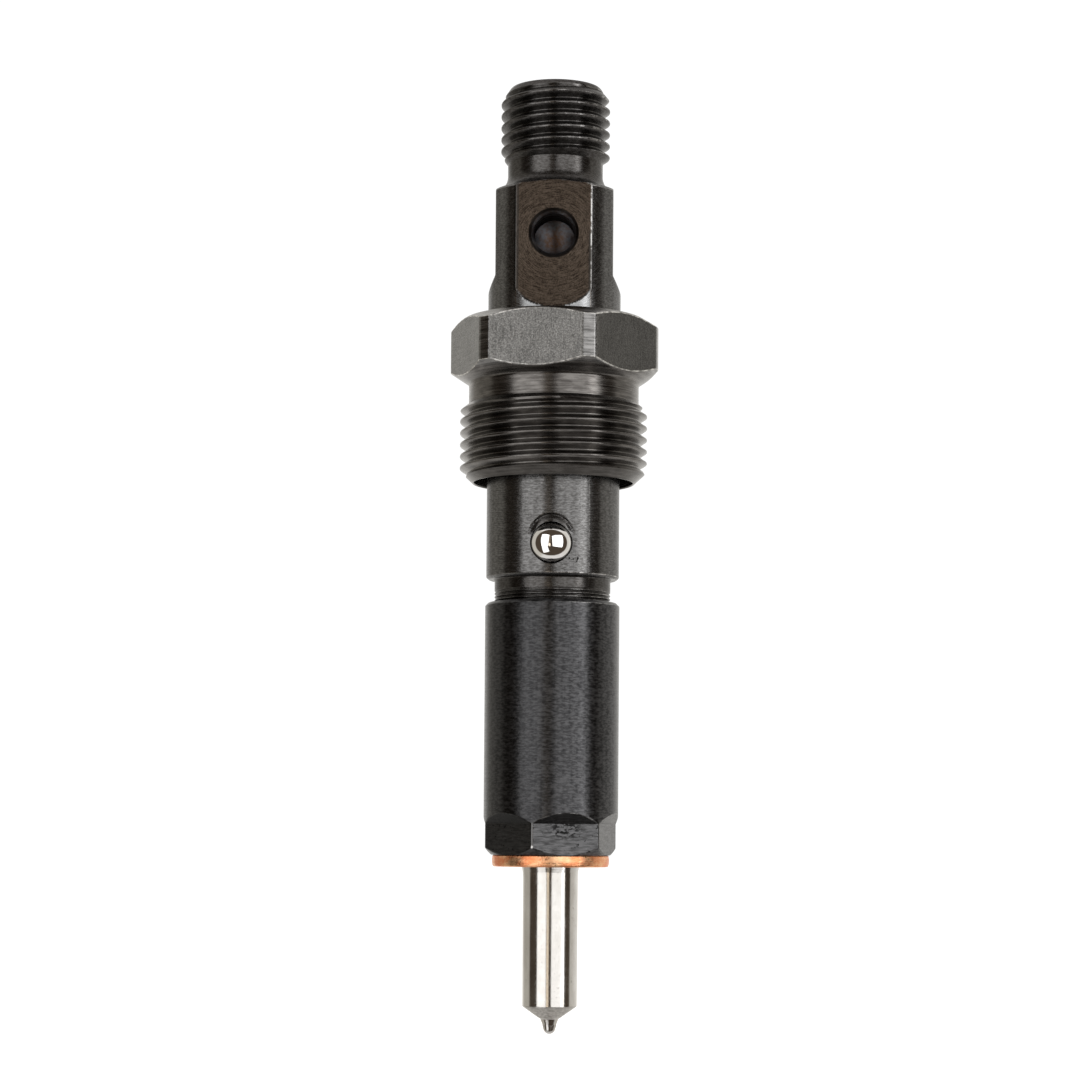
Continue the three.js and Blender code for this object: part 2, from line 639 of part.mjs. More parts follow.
const needleShoulderZ = DISC_BOTTOM_Z - NEEDLE_LIFT;
const needleConeTan = (SHANK_BORE_R - SAC_R) / (SEAT_TOP_Z - SAC_TOP_Z);
const needleConeBottom = SAC_TOP_Z + NEEDLE_CONE_BLUNT;
const needleConeR = (z) => SAC_R + (z - SAC_TOP_Z) * needleConeTan - NEEDLE_SEAT_GAP;
const needleConeTopZ = SAC_TOP_Z + (NEEDLE_SHAFT_R + NEEDLE_SEAT_GAP - SAC_R) / needleConeTan;

addPiece('nozzle_needle', turned([
  [0, needleConeBottom - NEEDLE_POINT],
  [needleConeR(needleConeBottom), needleConeBottom],
  [NEEDLE_SHAFT_R, needleConeTopZ],
  [NEEDLE_SHAFT_R, GALLERY_BOTTOM_Z + NEEDLE_RELIEF],
  [GUIDE_R - RUNNING_GAP, GALLERY_TOP_Z - NEEDLE_RELIEF],
  [GUIDE_R - RUNNING_GAP, needleShoulderZ],
  [NEEDLE_TAIL_R, needleShoulderZ],
  [NEEDLE_TAIL_R, NEEDLE_TAIL_Z],
  [0, NEEDLE_TAIL_Z],
], FINE_FACETS), MATERIALS.groundSteel);

addPiece('pressure_pin', turned([
  [0, NEEDLE_TAIL_Z],
  [PIN_R - SMALL_CHAMFER, NEEDLE_TAIL_Z],
  [PIN_R, NEEDLE_TAIL_Z + SMALL_CHAMFER],
  [PIN_R, PIN_TOP_Z - SMALL_CHAMFER],
  [PIN_R - SMALL_CHAMFER, PIN_TOP_Z],
  [0, PIN_TOP_Z],
], FINE_FACETS), MATERIALS.hardenedSteel);

addPiece('spring_seat', turned([
  [0, PIN_TOP_Z],
  [PIN_R + RUNNING_GAP, PIN_TOP_Z],
  [PIN_R + RUNNING_GAP, SEAT_BOTTOM_Z],
  [SEAT_R - SMALL_CHAMFER, SEAT_BOTTOM_Z],
  [SEAT_R, SEAT_BOTTOM_Z + SMALL_CHAMFER],
  [SEAT_R, SPRING_BOTTOM_Z],
  [SEAT_SPIGOT_R, SPRING_BOTTOM_Z],
  [SEAT_SPIGOT_R, SPRING_BOTTOM_Z + SEAT_SPIGOT_HEIGHT - SMALL_CHAMFER],
  [SEAT_SPIGOT_R - SMALL_CHAMFER, SPRING_BOTTOM_Z + SEAT_SPIGOT_HEIGHT],
  [0, SPRING_BOTTOM_Z + SEAT_SPIGOT_HEIGHT],
], FINE_FACETS), MATERIALS.hardenedSteel);

// ---------------------------------------------------------------- spring and shims

// The spring's centre line: close turns at both ends and open turns between them.
class SpringLine extends THREE.Curve {
  getPoint(t, target = new THREE.Vector3()) {
    const turns = SPRING_ACTIVE_TURNS + 2 * SPRING_END_TURNS;
    const turn = t * turns;
    const low = SPRING_BOTTOM_Z + SPRING_WIRE_R * SPRING_GROUND;
    const high = SPRING_TOP_Z - SPRING_WIRE_R * SPRING_GROUND;
    const endRise = SPRING_END_TURNS * SPRING_END_PITCH;
    const openPitch = (high - low - 2 * endRise) / SPRING_ACTIVE_TURNS;
    let z = low + turn * SPRING_END_PITCH;
    if (turn > SPRING_END_TURNS) z = low + endRise + (turn - SPRING_END_TURNS) * openPitch;
    if (turn > turns - SPRING_END_TURNS) z = high - (turns - turn) * SPRING_END_PITCH;
    const angle = turn * 2 * Math.PI;
    return target.set(SPRING_MEAN_R * Math.cos(angle), SPRING_MEAN_R * Math.sin(angle), z);
  }
}

function pressureSpring() {
  const corners = arc(0, 0, SPRING_WIRE_R, 0, 360, SPRING_SIDES).slice(1);
  const section = new THREE.Shape(corners.map(([x, y]) => new THREE.Vector2(x, y)));
  const turns = SPRING_ACTIVE_TURNS + 2 * SPRING_END_TURNS;
  const wire = solid(new THREE.ExtrudeGeometry(section, {
    steps: Math.round(turns * SPRING_STEPS_PER_TURN),
    extrudePath: new SpringLine(),
    bevelEnabled: false,
  }));
  const length = SPRING_TOP_Z - SPRING_BOTTOM_Z;
  const ground = new THREE.BoxGeometry(4 * SPRING_MEAN_R, 4 * SPRING_MEAN_R, length);
  ground.translate(0, 0, SPRING_BOTTOM_Z + length / 2);
  return wire.intersect(solid(ground));
}

addPiece('pressure_spring', pressureSpring(), MATERIALS.springSteel);

function shim(bottom, top) {
  return turned([
    [SHIM_HOLE_R, bottom],
    [SHIM_R, bottom],
    [SHIM_R, top],
    [SHIM_HOLE_R, top],
  ], FINE_FACETS);
}

addPiece('thick_shim', shim(SPRING_TOP_Z, SHIM_JOINT_Z), MATERIALS.hardenedSteel);
addPiece('thin_shim', shim(SHIM_JOINT_Z, CHAMBER_TOP_Z), MATERIALS.hardenedSteel);

export default injector;
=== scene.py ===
# Looks of a mechanical diesel fuel injector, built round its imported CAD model.
# Outlines are in millimetres as [radius, height]; MM turns them into Blender's metres.

import json
import math

import bpy
import bmesh
import numpy as np
from mathutils import Matrix, Vector


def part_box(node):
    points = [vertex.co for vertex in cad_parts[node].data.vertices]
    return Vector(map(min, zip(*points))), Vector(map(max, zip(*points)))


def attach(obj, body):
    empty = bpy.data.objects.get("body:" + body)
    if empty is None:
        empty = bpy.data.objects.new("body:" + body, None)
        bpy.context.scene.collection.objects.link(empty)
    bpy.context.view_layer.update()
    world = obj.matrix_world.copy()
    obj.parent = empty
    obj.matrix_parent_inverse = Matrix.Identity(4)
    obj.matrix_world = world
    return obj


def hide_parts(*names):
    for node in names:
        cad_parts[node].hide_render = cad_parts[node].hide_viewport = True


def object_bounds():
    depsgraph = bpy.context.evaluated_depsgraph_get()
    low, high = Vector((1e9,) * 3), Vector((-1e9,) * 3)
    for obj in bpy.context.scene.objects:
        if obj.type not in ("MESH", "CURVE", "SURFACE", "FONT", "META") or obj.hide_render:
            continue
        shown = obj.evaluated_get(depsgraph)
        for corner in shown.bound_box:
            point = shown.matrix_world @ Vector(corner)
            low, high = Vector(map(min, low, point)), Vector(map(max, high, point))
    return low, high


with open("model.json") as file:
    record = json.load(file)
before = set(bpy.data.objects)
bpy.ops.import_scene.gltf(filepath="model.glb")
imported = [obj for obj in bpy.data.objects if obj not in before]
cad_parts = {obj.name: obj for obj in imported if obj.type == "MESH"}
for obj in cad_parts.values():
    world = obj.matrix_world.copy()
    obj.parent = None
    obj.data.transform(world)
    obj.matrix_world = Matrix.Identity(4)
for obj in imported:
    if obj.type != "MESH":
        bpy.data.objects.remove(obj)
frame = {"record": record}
cad_low, cad_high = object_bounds()

MM = 0.001
FAR = 9.0                             # a distance for places that no flat reaches
SHARP_ANGLE = math.radians(38)


# ---------------- sizes from the frame

def height_range(node):
    low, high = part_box(node)
    return low[2] / MM, high[2] / MM


def outer_radius(node):
    low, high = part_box(node)
    return (high[0] - low[0]) / 2 / MM


HOLDER_LOW, INLET_Z = height_range("holder_body")
NUT_LOW, NUT_TOP = height_range("retaining_nut")
GLAND_LOW, GLAND_TOP = height_range("gland_nut")
WASHER_LOW, WASHER_TOP = height_range("sealing_washer")
TIP_Z, NOZZLE_TOP = height_range("nozzle_body")
SPRING_LOW, SPRING_TOP = height_range("pressure_spring")
SHIM_JOINT = height_range("thick_shim")[1]
CHAMBER_TOP = height_range("thin_shim")[1]
NEEDLE_TOP = height_range("nozzle_needle")[1]
PIN_LOW, PIN_TOP = height_range("pressure_pin")
SEAT_LOW, SEAT_TOP = height_range("spring_seat")
FILTER_LOW, FILTER_TOP = height_range("edge_filter")
BALL_LOW, BALL_HIGH = height_range("locating_ball")
WASHER_R = outer_radius("sealing_washer")
BALL_R = outer_radius("locating_ball")
BALL_Z = (BALL_LOW + BALL_HIGH) / 2
BALL_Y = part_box("locating_ball")[0][1] / MM + BALL_R

# Driving sizes that the boxes don't give.
BODY_R = 8.5
STEM_R = 7.42
STEM_HIDDEN_R = 7.1
STEM_THREAD_LOW, STEM_THREAD_TOP = 32.6, 35.3
BODY_LOW = 36.7
COLLAR_R = 10.0
COLLAR_LOW, COLLAR_TOP = 55.7, 59.2
BODY_TOP = 86.5
NECK_R = 6.1
NECK_TOP = 90.3
NECK_FILLET = 2.2
INLET_THREAD_R = 7.0
INLET_END_R = 5.9
INLET_CHAMFER_Z = 98.4
WRENCH_FLAT = 7.5
WRENCH_FLAT_Z = 75.3
WRENCH_RUNOUT = 1.7
PORT_FLAT = 7.06
MILL_R = 6.0
MILL_Z = 76.7
MILL_WALL_STEEPNESS = 9.0
FLAT_EDGE_X = math.sqrt(BODY_R ** 2 - PORT_FLAT ** 2)
PORT_Z = 80.1
PORT_R = 2.6
PORT_MOUTH_R = 3.18
PORT_FLOOR_Y = -1.9
PORT_TIP_Y = -0.34
BALL_HOLE_FLOOR_Y = -4.45
STAKE_R = 3.0
STAKE_RISE = 0.75
STAKE_DEPTH = 0.3
STAKE_SLOPE = 0.95
BALL_GAP = 0.05
NOTCH_R = 2.4                         # of the notches above and below the ball
NOTCH_SHIFT = 0.27
RUBBED_SHEEN_LOW, RUBBED_SHEEN_TOP = 69.6, 73.4   # stretch of the holder where the oxide is worn and painted lighter, as sheen under the soft boxes
CHAMBER_R = 3.7
DUCT_R = 0.9
DUCT_Y = 5.5
DUCT_TOP = 59.0
LEAK_R = 0.75
INLET_CONE_R = 4.8
INLET_BORE_R = 2.0
INLET_BORE_LOW = 84.5
CONE_TAN = math.tan(math.radians(30))

GLAND_R = 12.0
GLAND_END_R = 10.5
GLAND_END_CHAMFER = 1.5
GLAND_THREAD_TOP = 59.2
GLAND_NECK_R = 10.9
GLAND_NECK_TOP = 61.8
GLAND_COUNTERBORE_R = 10.2
GLAND_SHOULDER_Z = 59.3
GLAND_BORE_R = 8.7
GLAND_FLAT = 12.04
GLAND_CORNER_R = 13.46
GLAND_HEX_LOW = 63.5
GLAND_HEX_HIGH = 68.9
GLAND_HEX_TOP_R = 11.6
GLAND_TURN = -9.5

CAP_R = 8.6
CAP_END_R = 7.6
CAP_MOUTH_R = 4.8
CAP_SHOULDER_Z = 6.0
CAP_BORE_R = 7.15
CAP_THREAD_R = 7.45
CAP_THREAD_Z = 22.5
CAP_FLAT = 7.5
CAP_FLAT_TOP = 5.5
CAP_FLAT_RUNOUT = 6.8
CAP_TURN = 15.5
CAP_CORNER_X = CAP_FLAT / math.cos(math.radians(30)) * math.sin(math.radians(CAP_TURN - 30))

TIP_R = 0.8
NOZZLE_R = 3.5
NOZZLE_FLARE_R = 3.66
NOZZLE_STEP_R = 4.6
NOZZLE_STEP_Z = 1.8
SPRAY_Z = -20.0
SPRAY_HOLES = 5
SAC_R = 0.5
CONE_TOP_R, CONE_TOP_Z = 1.75, -17.0  # of the conical seat over the sac
SAC_TOP = CONE_TOP_Z - (CONE_TOP_R - SAC_R) / CONE_TAN
GALLERY_R = 3.0
GALLERY_LOW, GALLERY_TOP = 7.6, 9.8
GALLERY_CONE = 0.8                    # height of the cones above and below the gallery
NEEDLE_R = 2.0
NEEDLE_THIN_R = 1.3
NEEDLE_TAIL_R = 1.2
NEEDLE_LIFT = 0.22
PRESSURE_PIN_R = 1.65
SEAT_R = 3.4
SPIGOT_R = 1.6
DISC_R = 7.0
DOWEL_R = 1.0
DOWEL_CIRCLE_R = 5.4
DOWEL_TURNS = {
    "upper_dowel_left": -60, "upper_dowel_right": 60,
    "lower_dowel_left": -100, "lower_dowel_right": 100,
}

COARSE_PITCH = 1.5
FINE_PITCH = 1.0
STEM_PITCH = 0.44
THREAD_DEPTH = 0.6                    # of a 60 degree thread, per pitch
STEM_THREAD_DEPTH = 0.38              # the stem's thread is truncated
THREAD_SNAP = 0.012                   # a thread's points this near its end belong to the end
# Half a pitch of a thread, from crest to root: share of the pitch, share of the depth.
HALF_THREAD = [(0.0, 0.0), (0.045, 0.0), (0.08, 0.04), (0.26, 0.5), (0.44, 0.96), (0.475, 1.0)]
THREAD_FORM = HALF_THREAD + [(1 - share, depth) for share, depth in reversed(HALF_THREAD)]


# ---------------- outlines

def rounded(outline, fillet=0.12, steps=3, support=0.1):
    """The outline with each inner corner rounded and a support point beside each rounding."""
    most = 0.42                       # of a side that one rounding may take
    corners = [np.array(point[:2], float) for point in outline]
    sizes = [point[2] if len(point) > 2 else fillet for point in outline]
    points = [corners[0]]
    for i in range(1, len(corners) - 1):
        before, here, after = corners[i - 1], corners[i], corners[i + 1]
        back, ahead = before - here, after - here
        back_length, ahead_length = np.linalg.norm(back), np.linalg.norm(ahead)
        back, ahead = back / back_length, ahead / ahead_length
        half = math.acos(max(-1.0, min(1.0, float(back @ ahead)))) / 2
        if half > math.radians(88) or sizes[i] <= 0:
            points.append(here)
            continue
        trim = min(sizes[i] / math.tan(half), most * back_length, most * ahead_length)
        radius = trim * math.tan(half)
        centre = here + (back + ahead) / np.linalg.norm(back + ahead) * radius / math.sin(half)
        start, end = here + back * trim, here + ahead * trim
        if back_length > 2.5 * trim + support:
            points.append(start + back * support)
        first = math.atan2(*(start - centre)[::-1])
        sweep = math.atan2(*(end - centre)[::-1]) - first
        sweep = (sweep + math.pi) % (2 * math.pi) - math.pi
        for k in range(steps + 1):
            angle = first + sweep * k / steps
            points.append(centre + radius * np.array([math.cos(angle), math.sin(angle)]))
        if ahead_length > 2.5 * trim + support:
            points.append(end + ahead * support)
    points.append(corners[-1])
    return np.array(points)


def pin_outline(radius, low, high, chamfer):
    """A plain pin or disc with a chamfer at both ends."""
    return [
        (0, low), (radius - chamfer, low), (radius, low + chamfer),
        (radius, high - chamfer), (radius - chamfer, high), (0, high),
    ]


def arc(centre_r, centre_z, radius, start, end, steps):
    """Points along an arc between two angles in degrees."""
    angles = np.radians(np.linspace(start, end, steps + 1))
    return [(centre_r + radius * math.cos(a), centre_z + radius * math.sin(a)) for a in angles]


def with_rows(points, low, high, step):
    """The outline with extra points at even heights between two heights."""
    levels = np.arange(low, high + step / 2, step)
    dense = [points[0]]
    for before, here in zip(points[:-1], points[1:]):
        bottom, top = sorted((before[1], here[1]))
        inside = [z for z in levels if bottom + 0.02 < z < top - 0.02]
        if here[1] < before[1]:
            inside.reverse()
        dense += [before + (here - before) * (z - before[1]) / (here[1] - before[1]) for z in inside]
        dense.append(here)
    return np.array(dense)


def soft_min(a, b, rounding):
    """The smaller of two radii, rounded where they meet."""
    share = np.clip(0.5 + 0.5 * (b - a) / rounding, 0, 1)
    return b + (a - b) * share - rounding * share * (1 - share)


def smooth_step(value):
    value = np.clip(value, 0, 1)
    return value * value * (3 - 2 * value)


def cut_flat(angles, radii, turn, distance, rounding, where):
    """Radii cut back, in one region, to a flat that faces an angle in degrees at a distance from the axis."""
    toward = np.maximum(np.cos(angles - math.radians(turn)), 0.3)
    return np.where(where, soft_min(radii, distance / toward, rounding), radii)


def cut_hexagon(angles, radii, turn, distance, rounding, where):
    """Radii cut back to a hexagon's six faces, the first of which faces an angle in degrees."""
    for k in range(6):
        radii = cut_flat(angles, radii, turn + 60 * k, distance, rounding, where)
    return radii


# ---------------- meshes of revolution

def turns(count, dense=(), edges=()):
    """Angles in degrees round the axis: even ones, closer ones in some ranges, and lines at edges."""
    angles = set(np.round(np.linspace(-180, 180, count, endpoint=False), 4))
    for start, end, step in dense:
        angles = {a for a in angles if not start < a < end}
        angles |= set(np.round(np.arange(start, end + step / 2, step), 4))
    for edge in edges:
        beside = [edge + shift for shift in (-1.1, -0.55, -0.2, 0, 0.2, 0.55, 1.1)]
        near = {round((angle + 180) % 360 - 180, 4) for angle in beside}
        angles = {a for a in angles if min(abs(a - n) for n in near) > 0.12} | near
    return np.array(sorted(angles))


class Surface:
    """A closed surface built row by row. A row is a ring of points, and a row at one place is one point."""

    def __init__(self, angles=()):
        self.angles = np.array(angles)
        self.points = []
        self.faces = []
        self.last = None

    def add_points(self, points):
        start = len(self.points)
        if np.ptp(points, axis=0).max() < 1e-9:
            self.points.append(points[0])
            return [start] * len(points)
        self.points.extend(points)
        return list(range(start, start + len(points)))

    def add_face(self, corners):
        ring = [c for i, c in enumerate(corners) if c != corners[i - 1]]
        if len(set(ring)) > 2:
            self.faces.append(ring)

    def join(self, lower, upper):
        count = len(lower)
        for j in range(count):
            k = (j + 1) % count
            self.add_face([lower[j], lower[k], upper[k], upper[j]])

    def row(self, points):
        numbers = self.add_points(points)
        if self.last is not None:
            self.join(self.last, numbers)
        self.last = numbers
        return numbers

    def places(self, radii, heights):
        """Points at the surface's angles, from a radius and a height for each."""
        angles = np.radians(self.angles)
        return np.stack([radii * np.sin(angles), -radii * np.cos(angles), heights], axis=-1)

    def rings(self, outline, carve=None):
        """A ring for each [radius, height] of an outline. carve changes the radius from place to place."""
        rows = []
        for radius, height in outline:
            radii, heights = (np.full(len(self.angles), float(value)) for value in (radius, height))
            if carve is not None:
                radii = carve(np.radians(self.angles), radii, heights)
            rows.append(self.row(self.places(radii, heights)))
        return rows

    def thread(self, envelope, low, high, pitch, crest_r, fade=0, phase=0.0, depth=THREAD_DEPTH):
        """A thread from the last ring, at height low, to a new ring at height high. Its rows climb."""
        count = len(self.angles)
        climb = (self.angles + 180) / 360
        shares, depths = np.array(THREAD_FORM).T
        depths = depths * depth * pitch

        def radii_at(z, turn_share):
            inside = (z / pitch - phase - turn_share) % 1.0
            cut = np.interp(inside, shares, depths)
            if fade:
                cut = cut * smooth_step((z - low) / fade) * smooth_step((high - z) / fade)
            return np.minimum(crest_r - cut, envelope(z))

        bottom = self.last
        edge = np.full(count, float(high))
        top = self.add_points(self.places(radii_at(edge, climb), edge))
        steps = len(shares) - 1
        first = math.floor(low / pitch - phase) - 2
        last = math.ceil(high / pitch - phase) + 1
        table = []
        for turn in range(first, last):
            for share in shares[:-1]:
                z = (phase + turn + share + climb) * pitch
                places = self.places(radii_at(np.clip(z, low, high), climb), z)
                numbers = []
                for j in range(count):
                    if z[j] <= low + THREAD_SNAP:
                        numbers.append(bottom[j])
                    elif z[j] >= high - THREAD_SNAP:
                        numbers.append(top[j])
                    else:
                        numbers.append(len(self.points))
                        self.points.append(places[j])
                table.append(numbers)
        for row, numbers in enumerate(table[:-steps - 1]):
            after = table[row + 1]
            numbers = numbers + [table[row + steps][0]]
            after = after + [table[row + steps + 1][0]]
            for j in range(count):
                self.add_face([numbers[j], numbers[j + 1], after[j + 1], after[j]])
        self.last = top

    def close(self, first):
        self.join(self.last, first)


def add_object(name, data):
    thing = bpy.data.objects.new(name, data)
    bpy.context.scene.collection.objects.link(thing)
    return thing


def make_object(name, surface):
    """A Blender mesh object from a surface in millimetres, with outward faces."""
    mesh = bpy.data.meshes.new(name)
    mesh.from_pydata([Vector(point) * MM for point in surface.points], [], surface.faces)
    work = bmesh.new()
    work.from_mesh(mesh)
    bmesh.ops.recalc_face_normals(work, faces=work.faces)
    if work.calc_volume(signed=True) < 0:
        bmesh.ops.reverse_faces(work, faces=work.faces)
    work.to_mesh(mesh)
    work.free()
    mesh.shade_smooth()
    mesh.set_sharp_from_angle(angle=SHARP_ANGLE)
    return add_object(name, mesh)


def turned(name, outline, count=96, carve=None, angles=None, close=False):
    """A turned piece. The outline runs from axis to axis, or is a closed one."""
    surface = Surface(turns(count) if angles is None else angles)
    rows = surface.rings(outline, carve)
    if close:
        surface.close(rows[0])
    return make_object(name, surface)


def rod(start, end, radius, count=24):
    """A cutter: a straight cylinder between two points."""
    start, end = Vector(start), Vector(end)
    along = end - start
    piece = turned("cutter", [(0, 0), (radius, 0), (radius, along.length), (0, along.length)], count)
    piece.data.transform(Matrix.Scale(1 / MM, 4))
    turn = Vector((0, 0, 1)).rotation_difference(along).to_matrix().to_4x4()
    piece.data.transform(Matrix.Scale(MM, 4) @ Matrix.Translation(start) @ turn)
    return piece


def spun_along_y(outline, z, count=64):
    """A cutter turned about a line along Y at a height; the outline is [radius, y]."""
    piece = turned("cutter", outline, count)
    piece.data.transform(Matrix.Translation((0, 0, z * MM)) @ Matrix.Rotation(math.radians(-90), 4, "X"))
    return piece


def combine(piece, others, operation="DIFFERENCE"):
    """Cuts the others from the piece, or joins or intersects them, and removes them."""
    for other in others:
        cut = piece.modifiers.new("cut", "BOOLEAN")
        cut.operation = operation
        cut.solver = "MANIFOLD"
        cut.object = other
    depsgraph = bpy.context.evaluated_depsgraph_get()
    result = bpy.data.meshes.new_from_object(piece.evaluated_get(depsgraph))
    piece.modifiers.clear()
    old = piece.data
    piece.data = result
    bpy.data.meshes.remove(old)
    for other in others:
        mesh = other.data
        bpy.data.objects.remove(other)
        bpy.data.meshes.remove(mesh)
    piece.data.shade_smooth()
    piece.data.set_sharp_from_angle(angle=SHARP_ANGLE)
    return piece


# ---------------- material building blocks

class Value:
    """A number that shader nodes work out. Sums, products and powers of it add their own nodes."""

    def __init__(self, nodes, socket):
        self.nodes = nodes
        self.socket = socket

    def __add__(self, other):
        return self.nodes.math("ADD", self, other)

    def __sub__(self, other):
        return self.nodes.math("SUBTRACT", self, other)

    def __rsub__(self, other):
        return self.nodes.math("SUBTRACT", other, self)

    def __mul__(self, other):
        return self.nodes.math("MULTIPLY", self, other)

    def __truediv__(self, other):
        return self.nodes.math("DIVIDE", self, other)

    def __pow__(self, other):
        return self.nodes.math("POWER", self, other)

    def __abs__(self):
        return self.nodes.math("ABSOLUTE", self)


def reach(a, b):
    """The length of a plane vector with two components."""
    return (a * a + b * b) ** 0.5


class Nodes:
    """A node tree with a few building blocks for values and colours."""

    def __init__(self, tree):
        self.tree = tree

    def add(self, kind):
        return self.tree.nodes.new("ShaderNode" + kind)

    def feed(self, socket, value):
        """Gives a socket a number, a colour or what another node works out."""
        if isinstance(value, tuple):
            socket.default_value = (*value, 1.0)
        elif isinstance(value, (int, float)):
            socket.default_value = value
        else:
            self.tree.links.new(value.socket if isinstance(value, Value) else value, socket)

    def math(self, operation, a, b=0.0):
        node = self.add("Math")
        node.operation = operation
        self.feed(node.inputs[0], a)
        self.feed(node.inputs[1], b)
        return Value(self, node.outputs[0])

    def split(self, vector):
        """The three components of a vector."""
        node = self.add("SeparateXYZ")
        self.feed(node.inputs[0], vector)
        return [Value(self, output) for output in node.outputs]

    def levels(self, value, low, high, out_low=0.0, out_high=1.0):
        """A smooth step from one value to another between two levels."""
        node = self.add("MapRange")
        node.interpolation_type = "SMOOTHSTEP"
        self.feed(node.inputs["Value"], value)
        limits = {"From Min": low, "From Max": high, "To Min": out_low, "To Max": out_high}
        for name, limit in limits.items():
            node.inputs[name].default_value = limit
        return Value(self, node.outputs["Result"])

    def band(self, value, low, high, soft):
        """1 between two levels and 0 outside them."""
        return self.levels(value, low - soft, low + soft) * self.levels(value, high + soft, high - soft)

    def mix(self, share, a, b):
        """Mixes two colours, each a tuple or a socket, by a share."""
        node = self.add("Mix")
        node.data_type = "RGBA"
        for number, value in ((0, share), (6, a), (7, b)):
            self.feed(node.inputs[number], value)
        return node.outputs[2]


class Shading(Nodes):
    """One material's nodes, with the building blocks that the finishes share."""

    def __init__(self, name, **values):
        self.material = bpy.data.materials.new(name)
        self.material.use_nodes = True
        super().__init__(self.material.node_tree)
        self.shader = next(n for n in self.tree.nodes if n.type == "BSDF_PRINCIPLED")
        for socket, value in values.items():
            self.shader.inputs[socket.replace("_", " ")].default_value = value
        self.place = self.add("TexCoord").outputs["Object"]

    def place_mm(self):
        """Object coordinates X, Y and Z in millimetres."""
        return [component / MM for component in self.split(self.place)]

    def raw_noise(self, place, detail, roughness, distortion):
        node = self.add("TexNoise")
        self.feed(node.inputs["Vector"], place)
        self.feed(node.inputs["Scale"], 1.0)
        self.feed(node.inputs["Detail"], detail)
        self.feed(node.inputs["Roughness"], roughness)
        self.feed(node.inputs["Distortion"], distortion)
        return node.outputs["Fac"]

    def noise(self, per_mm, detail=3.0, low=0.3, high=0.7, distortion=0.0):
        """Noise from 0 to 1, its contrast set by two levels. per_mm is features per mm, one or X, Y and Z."""
        scaled = self.add("Mapping")
        scaled.inputs["Scale"].default_value = np.broadcast_to(per_mm, 3) / MM
        self.feed(scaled.inputs["Vector"], self.place)
        return self.levels(self.raw_noise(scaled.outputs[0], detail, 0.6, distortion), low, high)

    def stored(self, name):
        """A value that the mesh stores on its vertices."""
        node = self.add("Attribute")
        node.attribute_name = name
        return Value(self, node.outputs["Fac"])

    def edges(self, low, high):
        """From 0 to 1 with the convex curvature, in 1/mm, that mark_wear stored."""
        return self.levels(self.stored("wear"), low, high)

    def cutter_marks(self, centre_z, per_mm):
        """Fine arcs round a point of the front or a side flat, as an end mill leaves them, from 0 to 1."""
        x, y, z = self.place_mm()
        side = self.levels(abs(x), WRENCH_FLAT - 0.3, WRENCH_FLAT - 0.2)
        across = x * (1.0 - side) + y * side
        up = z - centre_z
        polar = self.add("CombineXYZ")
        self.feed(polar.inputs[0], reach(across, up) * per_mm)
        self.feed(polar.inputs[1], self.math("ARCTAN2", across, up) * 4.0)
        return self.levels(self.raw_noise(polar.outputs[0], 3.0, 0.5, 0.4), 0.36, 0.64)

    def bump(self, height, depth_mm, after=None):
        node = self.add("Bump")
        node.inputs["Strength"].default_value = 1.0
        node.inputs["Distance"].default_value = depth_mm * MM
        self.feed(node.inputs["Height"], height)
        if after is not None:
            self.feed(node.inputs["Normal"], after)
        return node.outputs["Normal"]

    def turned_tangent(self, anisotropy):
        """Stretches gloss across the turning marks of a piece that was turned about Z."""
        node = self.add("Tangent")
        node.direction_type = "RADIAL"
        node.axis = "Z"
        self.feed(self.shader.inputs["Tangent"], node.outputs[0])
        self.shader.inputs["Anisotropic"].default_value = anisotropy
        self.shader.inputs["Anisotropic Rotation"].default_value = 0.25

    def finish(self, color, roughness, normal):
        self.feed(self.shader.inputs["Base Color"], color)
        self.feed(self.shader.inputs["Normal"], normal)
        if roughness is not None:
            self.feed(self.shader.inputs["Roughness"], roughness)
        return self.material


# ---------------- finishes
# In each finish, s is its Shading. Greys and colours are linear.

# A dark brown, for the painted shadow in the stake mark's crescent and the holder's darker ends.
DARK_BROWN = (0.03, 0.024, 0.02)


def black_oxide(name, dark, light, worn, dashes, grazing, relief, calm=None):
    """Blackened turned steel: mottled, turning marks, dashes and worn edges, the wear painted brighter
    towards the right as highlight. calm is a Z range unworn.
    """
    s = Shading(name, Metallic=1.0, Specular_Tint=(grazing, grazing, grazing, 1))
    s.turned_tangent(0.6)
    x, _, z = s.place_mm()
    mottle = s.noise((0.22, 0.22, 0.16), detail=4, low=0.25, high=0.75)
    speckle = s.noise(dashes, low=0.36, high=0.66)
    lines = s.noise((0.12, 0.12, 6.5), detail=2, low=0.25, high=0.75)
    streaks = s.noise((1.6, 1.6, 0.07), detail=2)
    color = s.mix(mottle * 0.12 + speckle * 0.68 + streaks * 0.2, dark, light)
    scuff = s.levels(s.noise(0.9, detail=4, low=0.42, high=0.62), 0.0, 1.0, 0.15, 1.0)
    # Worn edges, partly real wear; fading them towards the left paints the right-hand edges brighter, as
    # painted highlight.
    edge = s.edges(1.6, 4.5) * scuff * s.levels(x, -5.0, 5.0, 0.15, 1.0)
    if calm is not None:
        edge = edge * (1.0 - s.band(z, *calm, 0.1))
    rough = s.levels(speckle * 0.5 + lines * 0.5, 0.0, 1.0, 0.27, 0.4) + edge * 0.15
    s.feed(s.shader.inputs["Roughness"], rough)
    return s, s.mix(edge, color, worn), s.bump(speckle, relief, after=s.bump(lines, 0.003))


